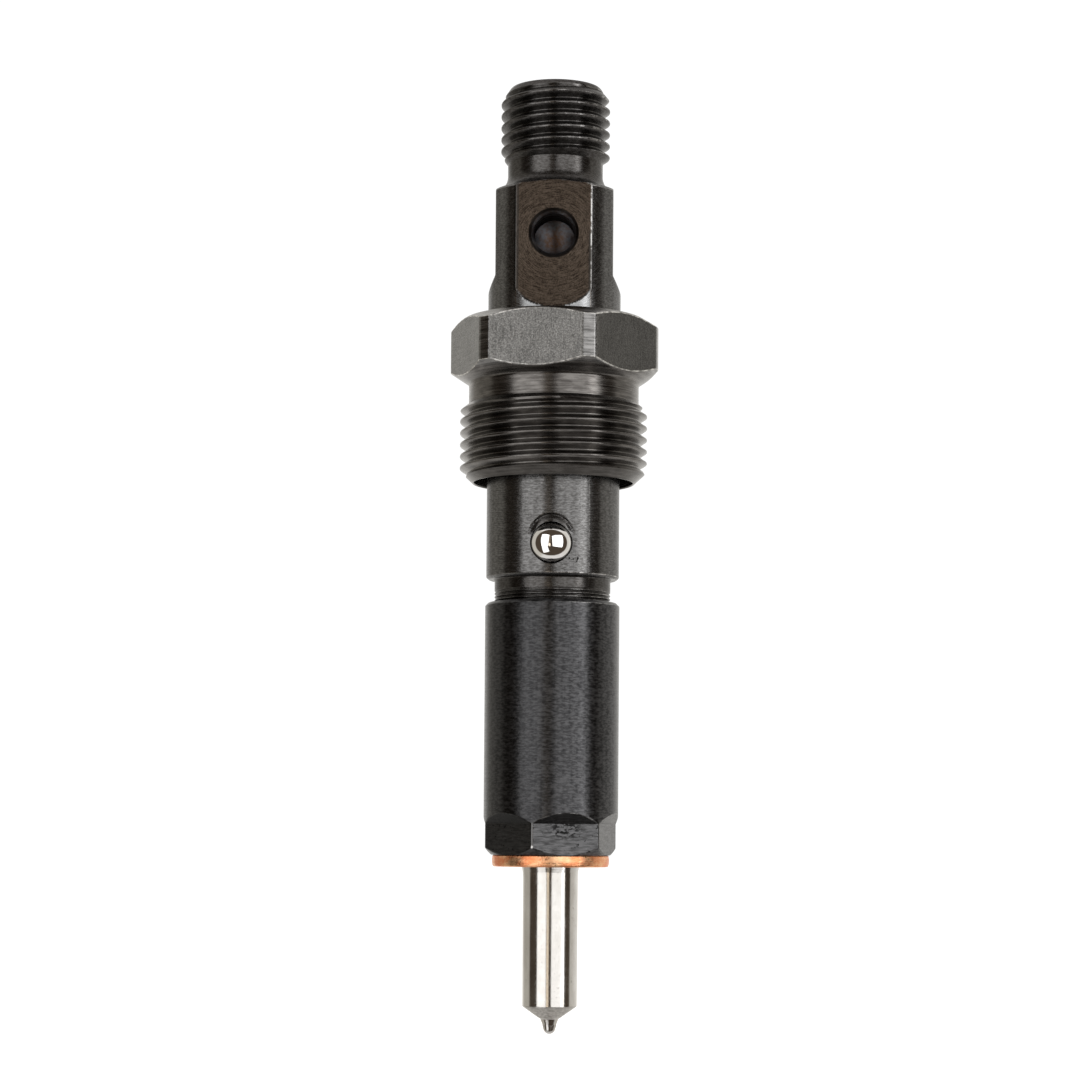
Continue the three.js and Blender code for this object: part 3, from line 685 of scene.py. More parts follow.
def flat_edges(s, color, x, z, front):
    """The front flat's edges: painted shade dims them on the left and low down, and a painted highlight
    brightens the nicked right one.
    """
    # Painted shade on the left and lower edges, dimming the left soft box's reflection there.
    dull = s.band(abs(x), FLAT_EDGE_X - 0.3, FLAT_EDGE_X + 0.3, 0.05) * front
    dull = dull * s.levels(z, MILL_Z - 4.4, MILL_Z - 3.6)
    left_or_low = s.math("MAXIMUM", s.levels(x, 0.5, -0.5), s.levels(z, MILL_Z + 4.5, MILL_Z + 2.5))
    color = s.mix(dull * left_or_low * 0.75, color, (0.05, 0.047, 0.044))
    nicks = s.levels(s.noise((0.9, 0.9, 1.7), detail=4, low=0.42, high=0.56), 0.0, 1.0, 0.05, 1.0)
    # Painted highlight: the nicked right edge is painted bright where the right soft box's reflection falls.
    bright = s.band(x, FLAT_EDGE_X - 0.07, FLAT_EDGE_X + 0.08, 0.04) * front
    bright = bright * nicks * s.levels(z, MILL_Z - 4.4, MILL_Z + 5, 0.3, 1.0)
    return s.mix(bright, color, (0.5, 0.49, 0.48))


def port_walls(s, color, x, y, z):
    """The leak-off port: a dark mouth, and a bore that is brown in the middle, grey outside and painted
    darker low down as shade inside the hole.
    """
    from_axis = reach(x, z - PORT_Z)
    inside = s.band(y, -PORT_FLAT, PORT_TIP_Y, 0.04)
    mouth = s.levels(from_axis, PORT_MOUTH_R + 0.06, PORT_MOUTH_R - 0.02) * inside
    color = s.mix(mouth, color, (0.04, 0.034, 0.03))
    bore = s.levels(from_axis, PORT_R + 0.3, PORT_R + 0.25) * inside
    middle_to_outside = s.levels(from_axis, 0.6, 1.8) + s.noise(2.5, low=0.35, high=0.65)
    bare = s.mix(middle_to_outside * 0.5, (0.08, 0.045, 0.028), (0.1, 0.103, 0.112))
    # Painted shade: the bore is painted darker towards its lower part.
    bare = s.mix(s.levels(z, PORT_Z - 1.0, PORT_Z - 2.3, 0.0, 0.75), bare, (0.012, 0.01, 0.01))
    return s.mix(bore, color, bare), bore


def stake_shadow_and_pits(s, color, x, z, front):
    """A painted shadow in the stake mark's crescent over the ball, and a few pits to the right of the ball.
    """
    from_stake = reach(x, z - (BALL_Z + STAKE_RISE))
    # Painted shadow: the crescent inside the stake mark is painted dark brown.
    stake = s.band(from_stake, STAKE_R - 1.0, STAKE_R, 0.08) * front
    stake = stake * s.levels(z, BALL_Z + 1.5, BALL_Z + 2.3, 0.0, 0.45)
    color = s.mix(stake, color, DARK_BROWN)
    from_pits = reach(x - 2.9, z - (BALL_Z - 1.9))
    pits = s.noise(2.6, detail=2, low=0.56, high=0.62) * s.levels(from_pits, 1.0, 0.6)
    return s.mix(pits, color, (0.012, 0.011, 0.01))


def holder_steel():
    """The holder's oxide, with darker ends, partly painted shade, a worn patch painted lighter as sheen,
    brown milled flats and a bare port.
    """
    s, color, normal = black_oxide(
        "blackened_steel", (0.062, 0.06, 0.058), (0.205, 0.203, 0.202), (0.75, 0.74, 0.73),
        dashes=(2.2, 2.2, 7.0), grazing=0.75, relief=0.002, calm=(BALL_Z - 3, BALL_Z + 6),
    )
    x, y, z = s.place_mm()
    front = s.levels(y, -5.0, -6.0)
    # Darker outside the body: painted shade on the stem in the recess under the body, and a darker tone on
    # the neck and inlet above it.
    color = s.mix((1.0 - s.band(z, BODY_LOW, BODY_TOP, 0.05)) * 0.5, color, DARK_BROWN)
    # Painted sheen: a front patch of the oxide is painted lighter where the soft boxes' reflections fall, on
    # top of real wear there.
    rubbed_sheen = s.band(z, RUBBED_SHEEN_LOW, RUBBED_SHEEN_TOP - 0.6, 0.4) * s.levels(abs(x), 5.4, 4.6) * front
    color = s.mix(rubbed_sheen * 0.8, color, (0.31, 0.315, 0.32))
    milled = s.stored("milled")
    marks = s.cutter_marks(PORT_Z - 0.6, 9.0)
    grain = s.noise(6.0)
    brown = s.mix(marks * 0.5 + grain * 0.5, (0.03, 0.022, 0.017), (0.17, 0.135, 0.106))
    color = flat_edges(s, s.mix(milled, color, brown), x, z, front)
    color, port = port_walls(s, color, x, y, z)
    color = stake_shadow_and_pits(s, color, x, z, front)
    rough = s.levels(milled, 0.0, 1.0, 0.0, 0.1) + s.levels(grain + marks, 0.0, 2.0, 0.2, 0.34) + port * 0.1
    return s.finish(color, rough, s.bump(marks * milled, 0.006, after=normal))


def cap_flats(s, x, z, front, lines):
    """The retaining nut's flats: level mill lines, pits and a scar, with painted shade darkening the faces
    left and right.
    """
    from_scar = reach(x - 2.0, (z - 4.8) * 1.7)
    scar = s.noise((1.9, 1.9, 2.6), detail=4, low=0.46, high=0.56) * s.levels(from_scar, 2.9, 1.0) * front
    pits = s.math("MAXIMUM", s.noise((1.7, 1.7, 2.0), low=0.62, high=0.68), scar)
    shade = (0.025, 0.025, 0.026)
    color = s.mix(lines, (0.055, 0.055, 0.056), (0.15, 0.15, 0.154))
    color = s.mix(s.levels(x, CAP_CORNER_X + 0.1, CAP_CORNER_X - 0.1, 0.0, 0.55), color, shade)
    color = s.mix(s.levels(x, 6.1, 6.3, 0.0, 0.4), color, shade)
    return s.mix(pits, color, (0.012, 0.012, 0.012))


def cap_steel():
    """The retaining nut's oxide: coarse dashes, milled flats, painted shade on its left side and on the
    run-out, and a painted highlight and glint at one corner.
    """
    s, color, normal = black_oxide(
        "retaining_steel", (0.024, 0.024, 0.025), (0.112, 0.112, 0.116), (0.35, 0.35, 0.35),
        dashes=(1.6, 1.6, 4.6), grazing=1.0, relief=0.005,
    )
    x, y, z = s.place_mm()
    front = s.levels(y, -5.0, -6.0)
    milled = s.stored("milled")
    lines = s.noise((0.8, 0.8, 5.0), detail=4)
    # Painted shade: the left side of the nut is painted darker.
    color = s.mix(s.levels(x, 1.0, -2.0, 0.0, 0.3), color, (0.03, 0.03, 0.031))
    color = s.mix(milled, color, cap_flats(s, x, z, front, lines))
    # Painted shade: the run-out's sloping facets are painted near black.
    runout = s.levels(reach(x, y), CAP_R - 0.03, CAP_R - 0.1) * s.band(z, CAP_FLAT_TOP, CAP_FLAT_RUNOUT, 0.03)
    color = s.mix(runout * 0.7, color, (0.01, 0.01, 0.01))
    # Painted highlight: a bright line down one front corner of the hexagon.
    corner = s.band(x, CAP_CORNER_X - 0.13, CAP_CORNER_X + 0.13, 0.06) * front
    corner = corner * s.band(z, NUT_LOW + 0.8, CAP_FLAT_TOP, 0.15)
    color = s.mix(corner * 0.7, color, (0.22, 0.22, 0.22))
    # Painted glint: a near-white dot at the foot of that corner.
    from_dot = reach(x - CAP_CORNER_X, z - (NUT_LOW + 1.05))
    color = s.mix(s.levels(from_dot, 0.22, 0.1) * front, color, (0.85, 0.85, 0.85))
    return s.finish(color, None, s.bump(lines * milled, 0.003, after=normal))


def gland_steel():
    """The gland nut: grainy hexagon faces with bright edges; thread, neck and corners turned and darker;
    painted shade on the right face and at the lower end.
    """
    s = Shading("gland_steel", Metallic=1.0)
    s.turned_tangent(0.45)
    x, y, z = s.place_mm()
    grain = s.noise(5.5, detail=4, low=0.36, high=0.66)
    combed = s.noise((5.0, 5.0, 0.5))
    cloud = s.noise((0.3, 0.3, 0.25))
    lines = s.noise((0.1, 0.1, 5.0), detail=2, low=0.34, high=0.66)
    streaks = s.noise((0.5, 0.5, 2.2), low=0.36, high=0.66)
    milled = s.stored("milled")
    face = s.mix(grain * 0.6 + combed * 0.25 + cloud * 0.15, (0.07, 0.069, 0.066), (0.29, 0.286, 0.276))
    # Painted shade: the hexagon's right face is painted darker.
    face = s.mix(s.levels(x, 5.6, 5.9, 0.0, 0.5), face, (0.06, 0.058, 0.055))
    corner = s.levels(reach(x, y), GLAND_R + 0.4, GLAND_R + 0.9) * s.levels(milled, 0.6, 0.2)
    dark = s.mix(corner, (0.065, 0.06, 0.056), (0.1, 0.098, 0.095))
    light = s.mix(corner, (0.2, 0.19, 0.18), (0.3, 0.295, 0.29))
    color = s.mix(milled, s.mix(streaks * 0.5 + lines * 0.5, dark, light), face)
    # Painted shade: darker towards the nut's lower end.
    color = s.mix(s.levels(z, GLAND_LOW + 1.3, GLAND_LOW + 0.9, 0.0, 0.45), color, (0.04, 0.037, 0.034))
    scuff = s.levels(s.noise(1.4, detail=4, low=0.4, high=0.62), 0.0, 1.0, 0.25, 1.0)
    hexagon = s.levels(z, GLAND_NECK_TOP + 0.1, GLAND_NECK_TOP + 0.4)
    uprights = s.band(z, GLAND_HEX_LOW + 0.3, GLAND_HEX_HIGH - 0.3, 0.2)
    worn = s.edges(2.0, 5.0) * scuff * hexagon * (1.0 - uprights * 0.8)
    rough = s.levels(milled, 0.0, 1.0, 0.2, 0.28) + lines * 0.08 + worn * 0.15
    normal = s.bump(grain * milled, 0.01, after=s.bump(lines, 0.005))
    return s.finish(s.mix(worn, color, (0.8, 0.79, 0.76)), rough, normal)


def ground_steel(name, dark, light, roughness, lines_per_mm, depth, matte=None):
    """Bright ground or lapped steel with fine marks round the axis. matte is a stretch of Z left dull."""
    s = Shading(name, Metallic=1.0)
    s.turned_tangent(0.6)
    lines = s.noise((0.15, 0.15, lines_per_mm), low=0.25, high=0.75)
    haze = s.noise((0.35, 0.35, 0.2), detail=4, low=0.35)
    specks = s.noise((2.6, 2.6, 2.2), detail=4, low=0.62, high=0.72)
    color = s.mix(specks * 0.35, s.mix(haze, dark, light), (0.22, 0.19, 0.16))
    rough = s.levels(lines + haze, 0.0, 2.0, *roughness)
    if matte is not None:
        dull = s.band(s.place_mm()[2], *matte, 0.1)
        grain = s.noise(3.0, detail=4)
        color = s.mix(dull, color, s.mix(grain, (0.34, 0.325, 0.3), (0.6, 0.58, 0.55)))
        rough = rough + dull * 0.28
    return s.finish(color, rough, s.bump(lines, depth))


def copper():
    """Annealed copper: burnished bands, small dents and a touch of brown tarnish."""
    s = Shading("copper", Metallic=1.0)
    patches = s.noise((0.5, 0.5, 0.8), detail=4, low=0.35, high=0.68)
    tarnish = s.noise((0.9, 0.9, 1.4), low=0.6, high=0.74)
    dents = s.noise((2.2, 2.2, 2.8))
    lines = s.noise((0.2, 0.2, 6.0), detail=2)
    color = s.mix(patches, (0.82, 0.28, 0.12), (1.0, 0.6, 0.34))
    color = s.mix(tarnish * 0.35, color, (0.4, 0.14, 0.065))
    rough = s.levels(dents + lines, 0.0, 2.0, 0.22, 0.4)
    return s.finish(color, rough, s.bump(dents, 0.01, after=s.bump(lines, 0.004)))


def ball_steel():
    """Bearing steel, polished, with hair scratches."""
    s = Shading("polished_ball", Metallic=1.0)
    haze = s.noise(1.2, detail=4, low=0.4)
    scratches = s.noise((0.6, 9.0, 2.5), detail=2, low=0.55, distortion=0.4)
    color = s.mix(haze, (0.97, 0.96, 0.95), (0.9, 0.89, 0.88))
    rough = s.levels(haze + scratches, 0.0, 2.0, 0.03, 0.12)
    return s.finish(color, rough, s.bump(scratches, 0.0006))


def spring_steel():
    """Oil-tempered wire: dark blue-grey with a fine grain, brighter on its edges."""
    s = Shading("spring_steel", Metallic=1.0)
    cloud = s.noise(0.5, detail=4)
    grain = s.noise(5.0)
    color = s.mix(cloud, (0.12, 0.125, 0.14), (0.26, 0.27, 0.3))
    color = s.mix(s.edges(3.0, 9.0), color, (0.5, 0.5, 0.5))
    return s.finish(color, s.levels(grain, 0.0, 1.0, 0.25, 0.42), s.bump(grain, 0.003))


FINISHES = {
    "blackened_steel": holder_steel(),
    "retaining_steel": cap_steel(),
    "gland_steel": gland_steel(),
    "ground_steel": ground_steel(
        "ground_steel", (0.6, 0.58, 0.55), (0.7, 0.685, 0.66), (0.12, 0.22), 9.0, 0.0012,
        matte=(TIP_Z + 2.0, TIP_Z + 3.6),
    ),
    "needle_steel": ground_steel(
        "needle_steel", (0.66, 0.65, 0.64), (0.74, 0.73, 0.72), (0.05, 0.1), 14.0, 0.0006,
    ),
    "hardened_steel": ground_steel(
        "hardened_steel", (0.36, 0.355, 0.35), (0.5, 0.495, 0.49), (0.16, 0.3), 7.0, 0.002,
    ),
    "copper": copper(),
    "polished_ball": ball_steel(),
    "spring_steel": spring_steel(),
}


def mark_wear(mesh):
    """Stores each vertex's sharpest convex curvature, in 1/mm, for the worn edges."""
    least_width = 0.04
    work = bmesh.new()
    work.from_mesh(mesh)
    curvature = np.zeros(len(work.verts))
    for edge in work.edges:
        if len(edge.link_faces) != 2:
            continue
        angle = edge.calc_face_angle_signed(0.0)
        if angle <= 0:
            continue
        length = edge.calc_length()
        width = sum(face.calc_area() for face in edge.link_faces) / 2 / max(length, 1e-9)
        value = angle / max(width / MM, least_width)
        for vertex in edge.verts:
            curvature[vertex.index] = max(curvature[vertex.index], value)
    work.free()
    attribute = mesh.attributes.new("wear", "FLOAT", "POINT")
    attribute.data.foreach_set("value", curvature)


def mark_milled(mesh, distance):
    """Stores 1 on the vertices of milled flats. distance says how far a place is from such a flat, in mm."""
    near = 0.025
    places = np.empty(len(mesh.vertices) * 3)
    mesh.vertices.foreach_get("co", places)
    x, y, z = places.reshape(-1, 3).T / MM
    attribute = mesh.attributes.new("milled", "FLOAT", "POINT")
    attribute.data.foreach_set("value", (np.abs(distance(x, y, z)) < near).astype(float))


def hexagon_distance(x, y, turn, flat):
    """Distance outside the nearest of a hexagon's six faces."""
    faces = np.radians(turn + 60 * np.arange(6))
    return np.max([x * math.sin(a) - y * math.cos(a) for a in faces], axis=0) - flat


BODIES = frame["record"]["behaviour"]["bodies"]
BODY_OF = {node: body for body, nodes in BODIES.items() for node in nodes}


def stand_for(piece, node, slot, milled=None):
    """The piece takes a CAD node's place, on that node's body, with the finish of its material slot."""
    piece.data.materials.clear()
    piece.data.materials.append(FINISHES[slot])
    mark_wear(piece.data)
    if milled is not None:
        mark_milled(piece.data, milled)
    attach(piece, BODY_OF[node])
    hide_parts(node)
    return piece


# ---------------- holder body

def holder_carve(angles, radii, heights):
    """Cuts the two wrench flats, the milled front flat and the stake mark into the holder's radius."""
    below_top = heights < BODY_TOP + NECK_FILLET + 0.3
    slope = (BODY_R - WRENCH_FLAT) / WRENCH_RUNOUT
    distance = WRENCH_FLAT + np.maximum(0, WRENCH_FLAT_Z - heights) * slope
    for turn in (-90, 90):
        radii = cut_flat(angles, radii, turn, distance, 0.16, below_top & (heights > WRENCH_FLAT_Z - 3))
    x = PORT_FLAT * np.tan(np.where(np.cos(angles) > 0.3, angles, 0))
    outside = np.maximum(0, np.hypot(x, np.minimum(heights - MILL_Z, 0)) - MILL_R)
    distance = PORT_FLAT + np.minimum(outside * MILL_WALL_STEEPNESS, 6.0)
    radii = cut_flat(angles, radii, 0, distance, 0.1, below_top & (heights > MILL_Z - MILL_R - 1.5))
    across = BODY_R * np.sin(angles)
    up = heights - (BALL_Z + STAKE_RISE)
    inside = STAKE_R - np.hypot(across, up)
    crescent = smooth_step(up / 1.2) * smooth_step(inside / 0.16) * smooth_step(1 - inside / STAKE_SLOPE)
    near = (np.cos(angles) > 0.5) & (np.abs(heights - BALL_Z) < 6)
    return np.where(near, radii - STAKE_DEPTH * crescent, radii)


def holder_angles():
    flat_edge = math.degrees(math.asin(FLAT_EDGE_X / BODY_R))
    wrench_edge = math.degrees(math.acos(WRENCH_FLAT / BODY_R))
    edges = [-flat_edge, flat_edge]
    edges += [side * 90 + shift for side in (-1, 1) for shift in (-wrench_edge, wrench_edge)]
    return turns(240, dense=[(-36, 36, 0.75)], edges=edges)


def inlet_envelope(z):
    """The largest radius that the inlet thread may have at a height, with a chamfer at both ends."""
    full = INLET_THREAD_R + 0.01
    run_in = NECK_TOP + INLET_THREAD_R - NECK_R
    chamfer_middle = INLET_CHAMFER_Z + 0.7
    heights = [NECK_TOP, run_in, INLET_CHAMFER_Z, chamfer_middle, INLET_Z - 0.15, INLET_Z]
    return np.interp(z, heights, [NECK_R, full, full, 6.45, INLET_END_R + 0.05, INLET_END_R - 0.1])


def make_holder():
    angles = holder_angles()
    lower = rounded([
        (0, HOLDER_LOW), (STEM_HIDDEN_R - 0.4, HOLDER_LOW), (STEM_HIDDEN_R, HOLDER_LOW + 0.4),
        (STEM_HIDDEN_R, STEM_THREAD_LOW - 0.4),
        (STEM_R, STEM_THREAD_LOW - 0.1), (STEM_R, STEM_THREAD_LOW),
    ])
    fillet = arc(NECK_R + NECK_FILLET, BODY_TOP + NECK_FILLET, NECK_FILLET, 270, 180, 14)
    middle = rounded([
        (STEM_R, STEM_THREAD_TOP), (STEM_R, BODY_LOW, 0.25),
        (BODY_R - 0.35, BODY_LOW), (BODY_R, BODY_LOW + 0.28, 0.22),
        (BODY_R, COLLAR_LOW, 0.3), (COLLAR_R - 0.4, COLLAR_LOW), (COLLAR_R, COLLAR_LOW + 0.4),
        (COLLAR_R, COLLAR_TOP - 0.4), (COLLAR_R - 0.4, COLLAR_TOP), (BODY_R, COLLAR_TOP, 0.2),
        (BODY_R, BODY_TOP - 0.35), (BODY_R - 0.35, BODY_TOP),
        *[(r, z, 0) for r, z in fillet[1:]], (NECK_R, NECK_TOP),
    ])
    middle = with_rows(middle, MILL_Z - MILL_R - 0.6, MILL_Z + 0.4, 0.15)
    middle = with_rows(middle, MILL_Z + 0.4, BODY_TOP, 0.6)
    middle = with_rows(middle, BALL_Z + STAKE_RISE, BALL_Z + STAKE_RISE + STAKE_R + 0.3, 0.1)
    cone_low = INLET_Z - (INLET_CONE_R - INLET_BORE_R) / CONE_TAN
    top = rounded([
        (INLET_END_R - 0.1, INLET_Z), (INLET_CONE_R, INLET_Z), (INLET_BORE_R, cone_low),
        (INLET_BORE_R, INLET_BORE_LOW), (0, INLET_BORE_LOW),
    ])
    surface = Surface(angles)
    surface.rings(lower)
    surface.thread(
        lambda z: np.full_like(z, STEM_R), STEM_THREAD_LOW, STEM_THREAD_TOP, STEM_PITCH, STEM_R,
        fade=0.3, depth=STEM_THREAD_DEPTH,
    )
    surface.rings(middle[1:], holder_carve)
    surface.thread(inlet_envelope, NECK_TOP, INLET_Z, COARSE_PITCH, INLET_THREAD_R, phase=0.05)
    surface.rings(top[1:])
    body = make_object("holder_shell", surface)
    hole_r = BALL_R + BALL_GAP
    ball_hole = spun_along_y([
        (0, BALL_HOLE_FLOOR_Y), (hole_r, BALL_HOLE_FLOOR_Y),
        *[(r, -y) for r, y in arc(0, -BALL_Y, hole_r, 0, 90, 24)],
    ][::-1], BALL_Z, 96)
    notches = [rod((0, BALL_Y, BALL_Z + shift), (0, -BODY_R - 1, BALL_Z + shift), NOTCH_R, 64)
               for shift in (-NOTCH_SHIFT, NOTCH_SHIFT)]
    port = spun_along_y(port_outline()[::-1], PORT_Z, 96)
    cutters = [
        ball_hole,
        *notches,
        port,
        rod((0, 0, HOLDER_LOW - 1), (0, 0, CHAMBER_TOP), CHAMBER_R, 64),
        rod((0, DUCT_Y, HOLDER_LOW - 1), (0, DUCT_Y, DUCT_TOP), DUCT_R),
        rod((0, 1, INLET_BORE_LOW + 0.4), (0, DUCT_Y, DUCT_TOP - 0.8), DUCT_R),
        rod((0, -1.8, CHAMBER_TOP - 0.5), (0, -3, PORT_Z - 1), LEAK_R),
        *dowel_holes(("upper_dowel_left", "upper_dowel_right")),
    ]
    return combine(body, cutters)


def port_outline():
    """The leak-off port with its chamfer, three thread grooves and the drill's cone, as [radius, y]."""
    outline = [(0, PORT_TIP_Y), (PORT_R, PORT_FLOOR_Y)]
    root = PORT_R + 0.2
    for k in range(3):
        y = PORT_FLOOR_Y - 0.7 - k * FINE_PITCH
        outline += [(PORT_R, y + 0.4), (root, y + 0.08), (root, y - 0.02), (PORT_R, y - 0.35)]
    chamfer = PORT_MOUTH_R - PORT_R
    outline += [(PORT_R, -PORT_FLAT + chamfer), (PORT_MOUTH_R, -PORT_FLAT)]
    outline += [(PORT_MOUTH_R + 1, -PORT_FLAT - 1), (0, -PORT_FLAT - 1)]
    return outline


def around(radius, turn, z):
    angle = math.radians(turn)
    return (radius * math.sin(angle), -radius * math.cos(angle), z)


def dowel_holes(names):
    cutters = []
    for name in names:
        low, high = height_range(name)
        start, end = [around(DOWEL_CIRCLE_R, DOWEL_TURNS[name], z) for z in (low - 0.2, high + 0.2)]
        cutters.append(rod(start, end, DOWEL_R + 0.05))
    return cutters


def holder_milled(x, y, z):
    """Distance to the nearer of the front flat and the wrench flats."""
    front = np.abs(y + PORT_FLAT)
    side = np.where(z > WRENCH_FLAT_Z - 0.2, np.abs(np.abs(x) - WRENCH_FLAT), FAR)
    return np.where((z > MILL_Z - MILL_R - 0.5) & (z < NECK_TOP), np.minimum(front, side), FAR)


stand_for(make_holder(), "holder_body", "blackened_steel", holder_milled)


# ---------------- ball and edge filter

def make_ball():
    """A fine cube-sphere, so that its reflections have no poles."""
    work = bmesh.new()
    bmesh.ops.create_cube(work, size=2)
    bmesh.ops.subdivide_edges(work, edges=work.edges, cuts=40, use_grid_fill=True)
    for vertex in work.verts:
        vertex.co = vertex.co.normalized() * BALL_R * MM + Vector((0, BALL_Y, BALL_Z)) * MM
    mesh = bpy.data.meshes.new("ball")
    work.to_mesh(mesh)
    work.free()
    mesh.shade_smooth()
    return add_object("staked_ball", mesh)


stand_for(make_ball(), "locating_ball", "polished_ball")


def make_filter():
    land, step = 1.2, 0.2
    rim, waist = 1.9, 1.7
    low, high = FILTER_LOW, FILTER_TOP
    body = turned("filter_rod", rounded([
        (0, low), (waist, low), (rim, low + step), (rim, low + land), (waist, low + land + step),
        (waist, high - land - step), (rim, high - land), (rim, high - step), (waist, high), (0, high),
    ], 0.06), 96)
    grooves = []
    for k in range(4):
        turn = 45 + 90 * k
        start, end = (low + land + 0.4, high + 1) if k % 2 == 0 else (low - 1, high - land - 0.4)
        grooves.append(rod(around(rim + 0.05, turn, start), around(rim + 0.05, turn, end), 0.5))
    return combine(body, grooves)


stand_for(make_filter(), "edge_filter", "hardened_steel")


# ---------------- gland nut

def gland_envelope(z):
    """The largest radius that the gland nut's thread may have at a height."""
    full = GLAND_R + 0.01
    chamfer_low = GLAND_THREAD_TOP - 0.8 * (GLAND_R - GLAND_NECK_R)
    heights = [GLAND_LOW, GLAND_LOW + 0.12, GLAND_LOW + GLAND_END_CHAMFER, chamfer_low, GLAND_THREAD_TOP]
    return np.interp(z, heights, [GLAND_END_R - 0.12, GLAND_END_R, full, full, GLAND_NECK_R])


def gland_carve(angles, radii, heights):
    """Cuts the large hexagon's faces into the radius, above the neck and outside the bore."""
    hexagon = (heights > GLAND_NECK_TOP) & (radii > GLAND_BORE_R + 1)
    return cut_hexagon(angles, radii, GLAND_TURN, GLAND_FLAT, 0.12, hexagon)


def make_gland():
    strip = 30 - math.degrees(math.acos(GLAND_FLAT / GLAND_CORNER_R))
    edges = [GLAND_TURN + 30 + 60 * k + side * strip for k in range(6) for side in (-1, 1)]
    angles = turns(288, edges=edges)
    outside = rounded([
        (GLAND_NECK_R, GLAND_THREAD_TOP), (GLAND_NECK_R, GLAND_NECK_TOP, 0.5),
        (GLAND_CORNER_R, GLAND_HEX_LOW, 0.15), (GLAND_CORNER_R, GLAND_HEX_HIGH, 0.15),
        (GLAND_HEX_TOP_R, GLAND_TOP, 0.2), (GLAND_BORE_R + 0.4, GLAND_TOP), (GLAND_BORE_R, GLAND_TOP - 0.4),
        (GLAND_BORE_R, GLAND_SHOULDER_Z + 0.3), (GLAND_BORE_R + 0.3, GLAND_SHOULDER_Z),
        (GLAND_COUNTERBORE_R, GLAND_SHOULDER_Z, 0.15), (GLAND_COUNTERBORE_R, GLAND_LOW + 0.1),
        (GLAND_COUNTERBORE_R + 0.1, GLAND_LOW),
    ])
    outside = with_rows(outside, GLAND_NECK_TOP, GLAND_HEX_LOW, 0.1)
    outside = with_rows(outside, GLAND_HEX_HIGH, GLAND_TOP - 0.05, 0.08)
    surface = Surface(angles)
    start = surface.rings([(GLAND_END_R - 0.12, GLAND_LOW)])[0]
    surface.thread(gland_envelope, GLAND_LOW, GLAND_THREAD_TOP, COARSE_PITCH, GLAND_R, phase=-0.28)
    surface.rings(outside[1:], gland_carve)
    surface.close(start)
    return make_object("gland_shell", surface)


stand_for(
    make_gland(), "gland_nut", "gland_steel",
    lambda x, y, z: np.where(z > GLAND_NECK_TOP, hexagon_distance(x, y, GLAND_TURN, GLAND_FLAT), FAR),
)


# ---------------- retaining nut

def cap_carve(angles, radii, heights):
    """Cuts the small hexagon and its run-out into the retaining nut's lower end, outside its bore."""
    slope = (CAP_R - CAP_FLAT) / (CAP_FLAT_RUNOUT - CAP_FLAT_TOP)
    distance = CAP_FLAT + np.maximum(0, heights - CAP_FLAT_TOP) * slope
    hexagon = (radii > CAP_THREAD_R + 0.1) & (heights < CAP_FLAT_RUNOUT + 1)
    return cut_hexagon(angles, radii, CAP_TURN, distance, 0.07, hexagon)


def make_cap():
    angles = turns(288, edges=[CAP_TURN + 30 + 60 * k for k in range(6)])
    outline = rounded([
        (CAP_MOUTH_R, NUT_LOW + 0.2), (CAP_MOUTH_R + 0.2, NUT_LOW), (CAP_END_R, NUT_LOW),
        (CAP_R, NUT_LOW + 0.9), (CAP_R, NUT_TOP - 0.4), (CAP_R - 0.4, NUT_TOP), (CAP_THREAD_R + 0.4, NUT_TOP),
        (CAP_THREAD_R, NUT_TOP - 0.4), (CAP_THREAD_R, CAP_THREAD_Z), (CAP_BORE_R, CAP_THREAD_Z - 0.3),
        (CAP_BORE_R, CAP_SHOULDER_Z, 0.2), (CAP_MOUTH_R, CAP_SHOULDER_Z), (CAP_MOUTH_R, NUT_LOW + 0.4),
    ], 0.15)
    outline = with_rows(outline, NUT_LOW, NUT_LOW + 1.3, 0.1)
    outline = with_rows(outline, NUT_LOW + 1.3, CAP_FLAT_TOP - 0.2, 0.5)
    outline = with_rows(outline, CAP_FLAT_TOP - 0.2, CAP_FLAT_RUNOUT + 0.3, 0.08)
    return turned("cap_shell", outline, carve=cap_carve, angles=angles, close=True)


stand_for(
    make_cap(), "retaining_nut", "retaining_steel",
    lambda x, y, z: np.where(z < CAP_FLAT_TOP + 0.1, hexagon_distance(x, y, CAP_TURN, CAP_FLAT), FAR),
)


# ---------------- washer and nozzle

def make_washer():
    hole = 3.68
    return turned("crush_washer", rounded([
        (hole, WASHER_LOW + 0.3), (hole + 0.2, WASHER_LOW), (WASHER_R - 0.1, WASHER_LOW, 0.25),
        (WASHER_R, (WASHER_LOW + WASHER_TOP) / 2, 1.5), (WASHER_R - 0.08, WASHER_TOP, 0.2),
        (hole + 0.2, WASHER_TOP), (hole, WASHER_TOP - 0.3),
    ], 0.12, 5), 192, close=True)


stand_for(make_washer(), "sealing_washer", "copper")


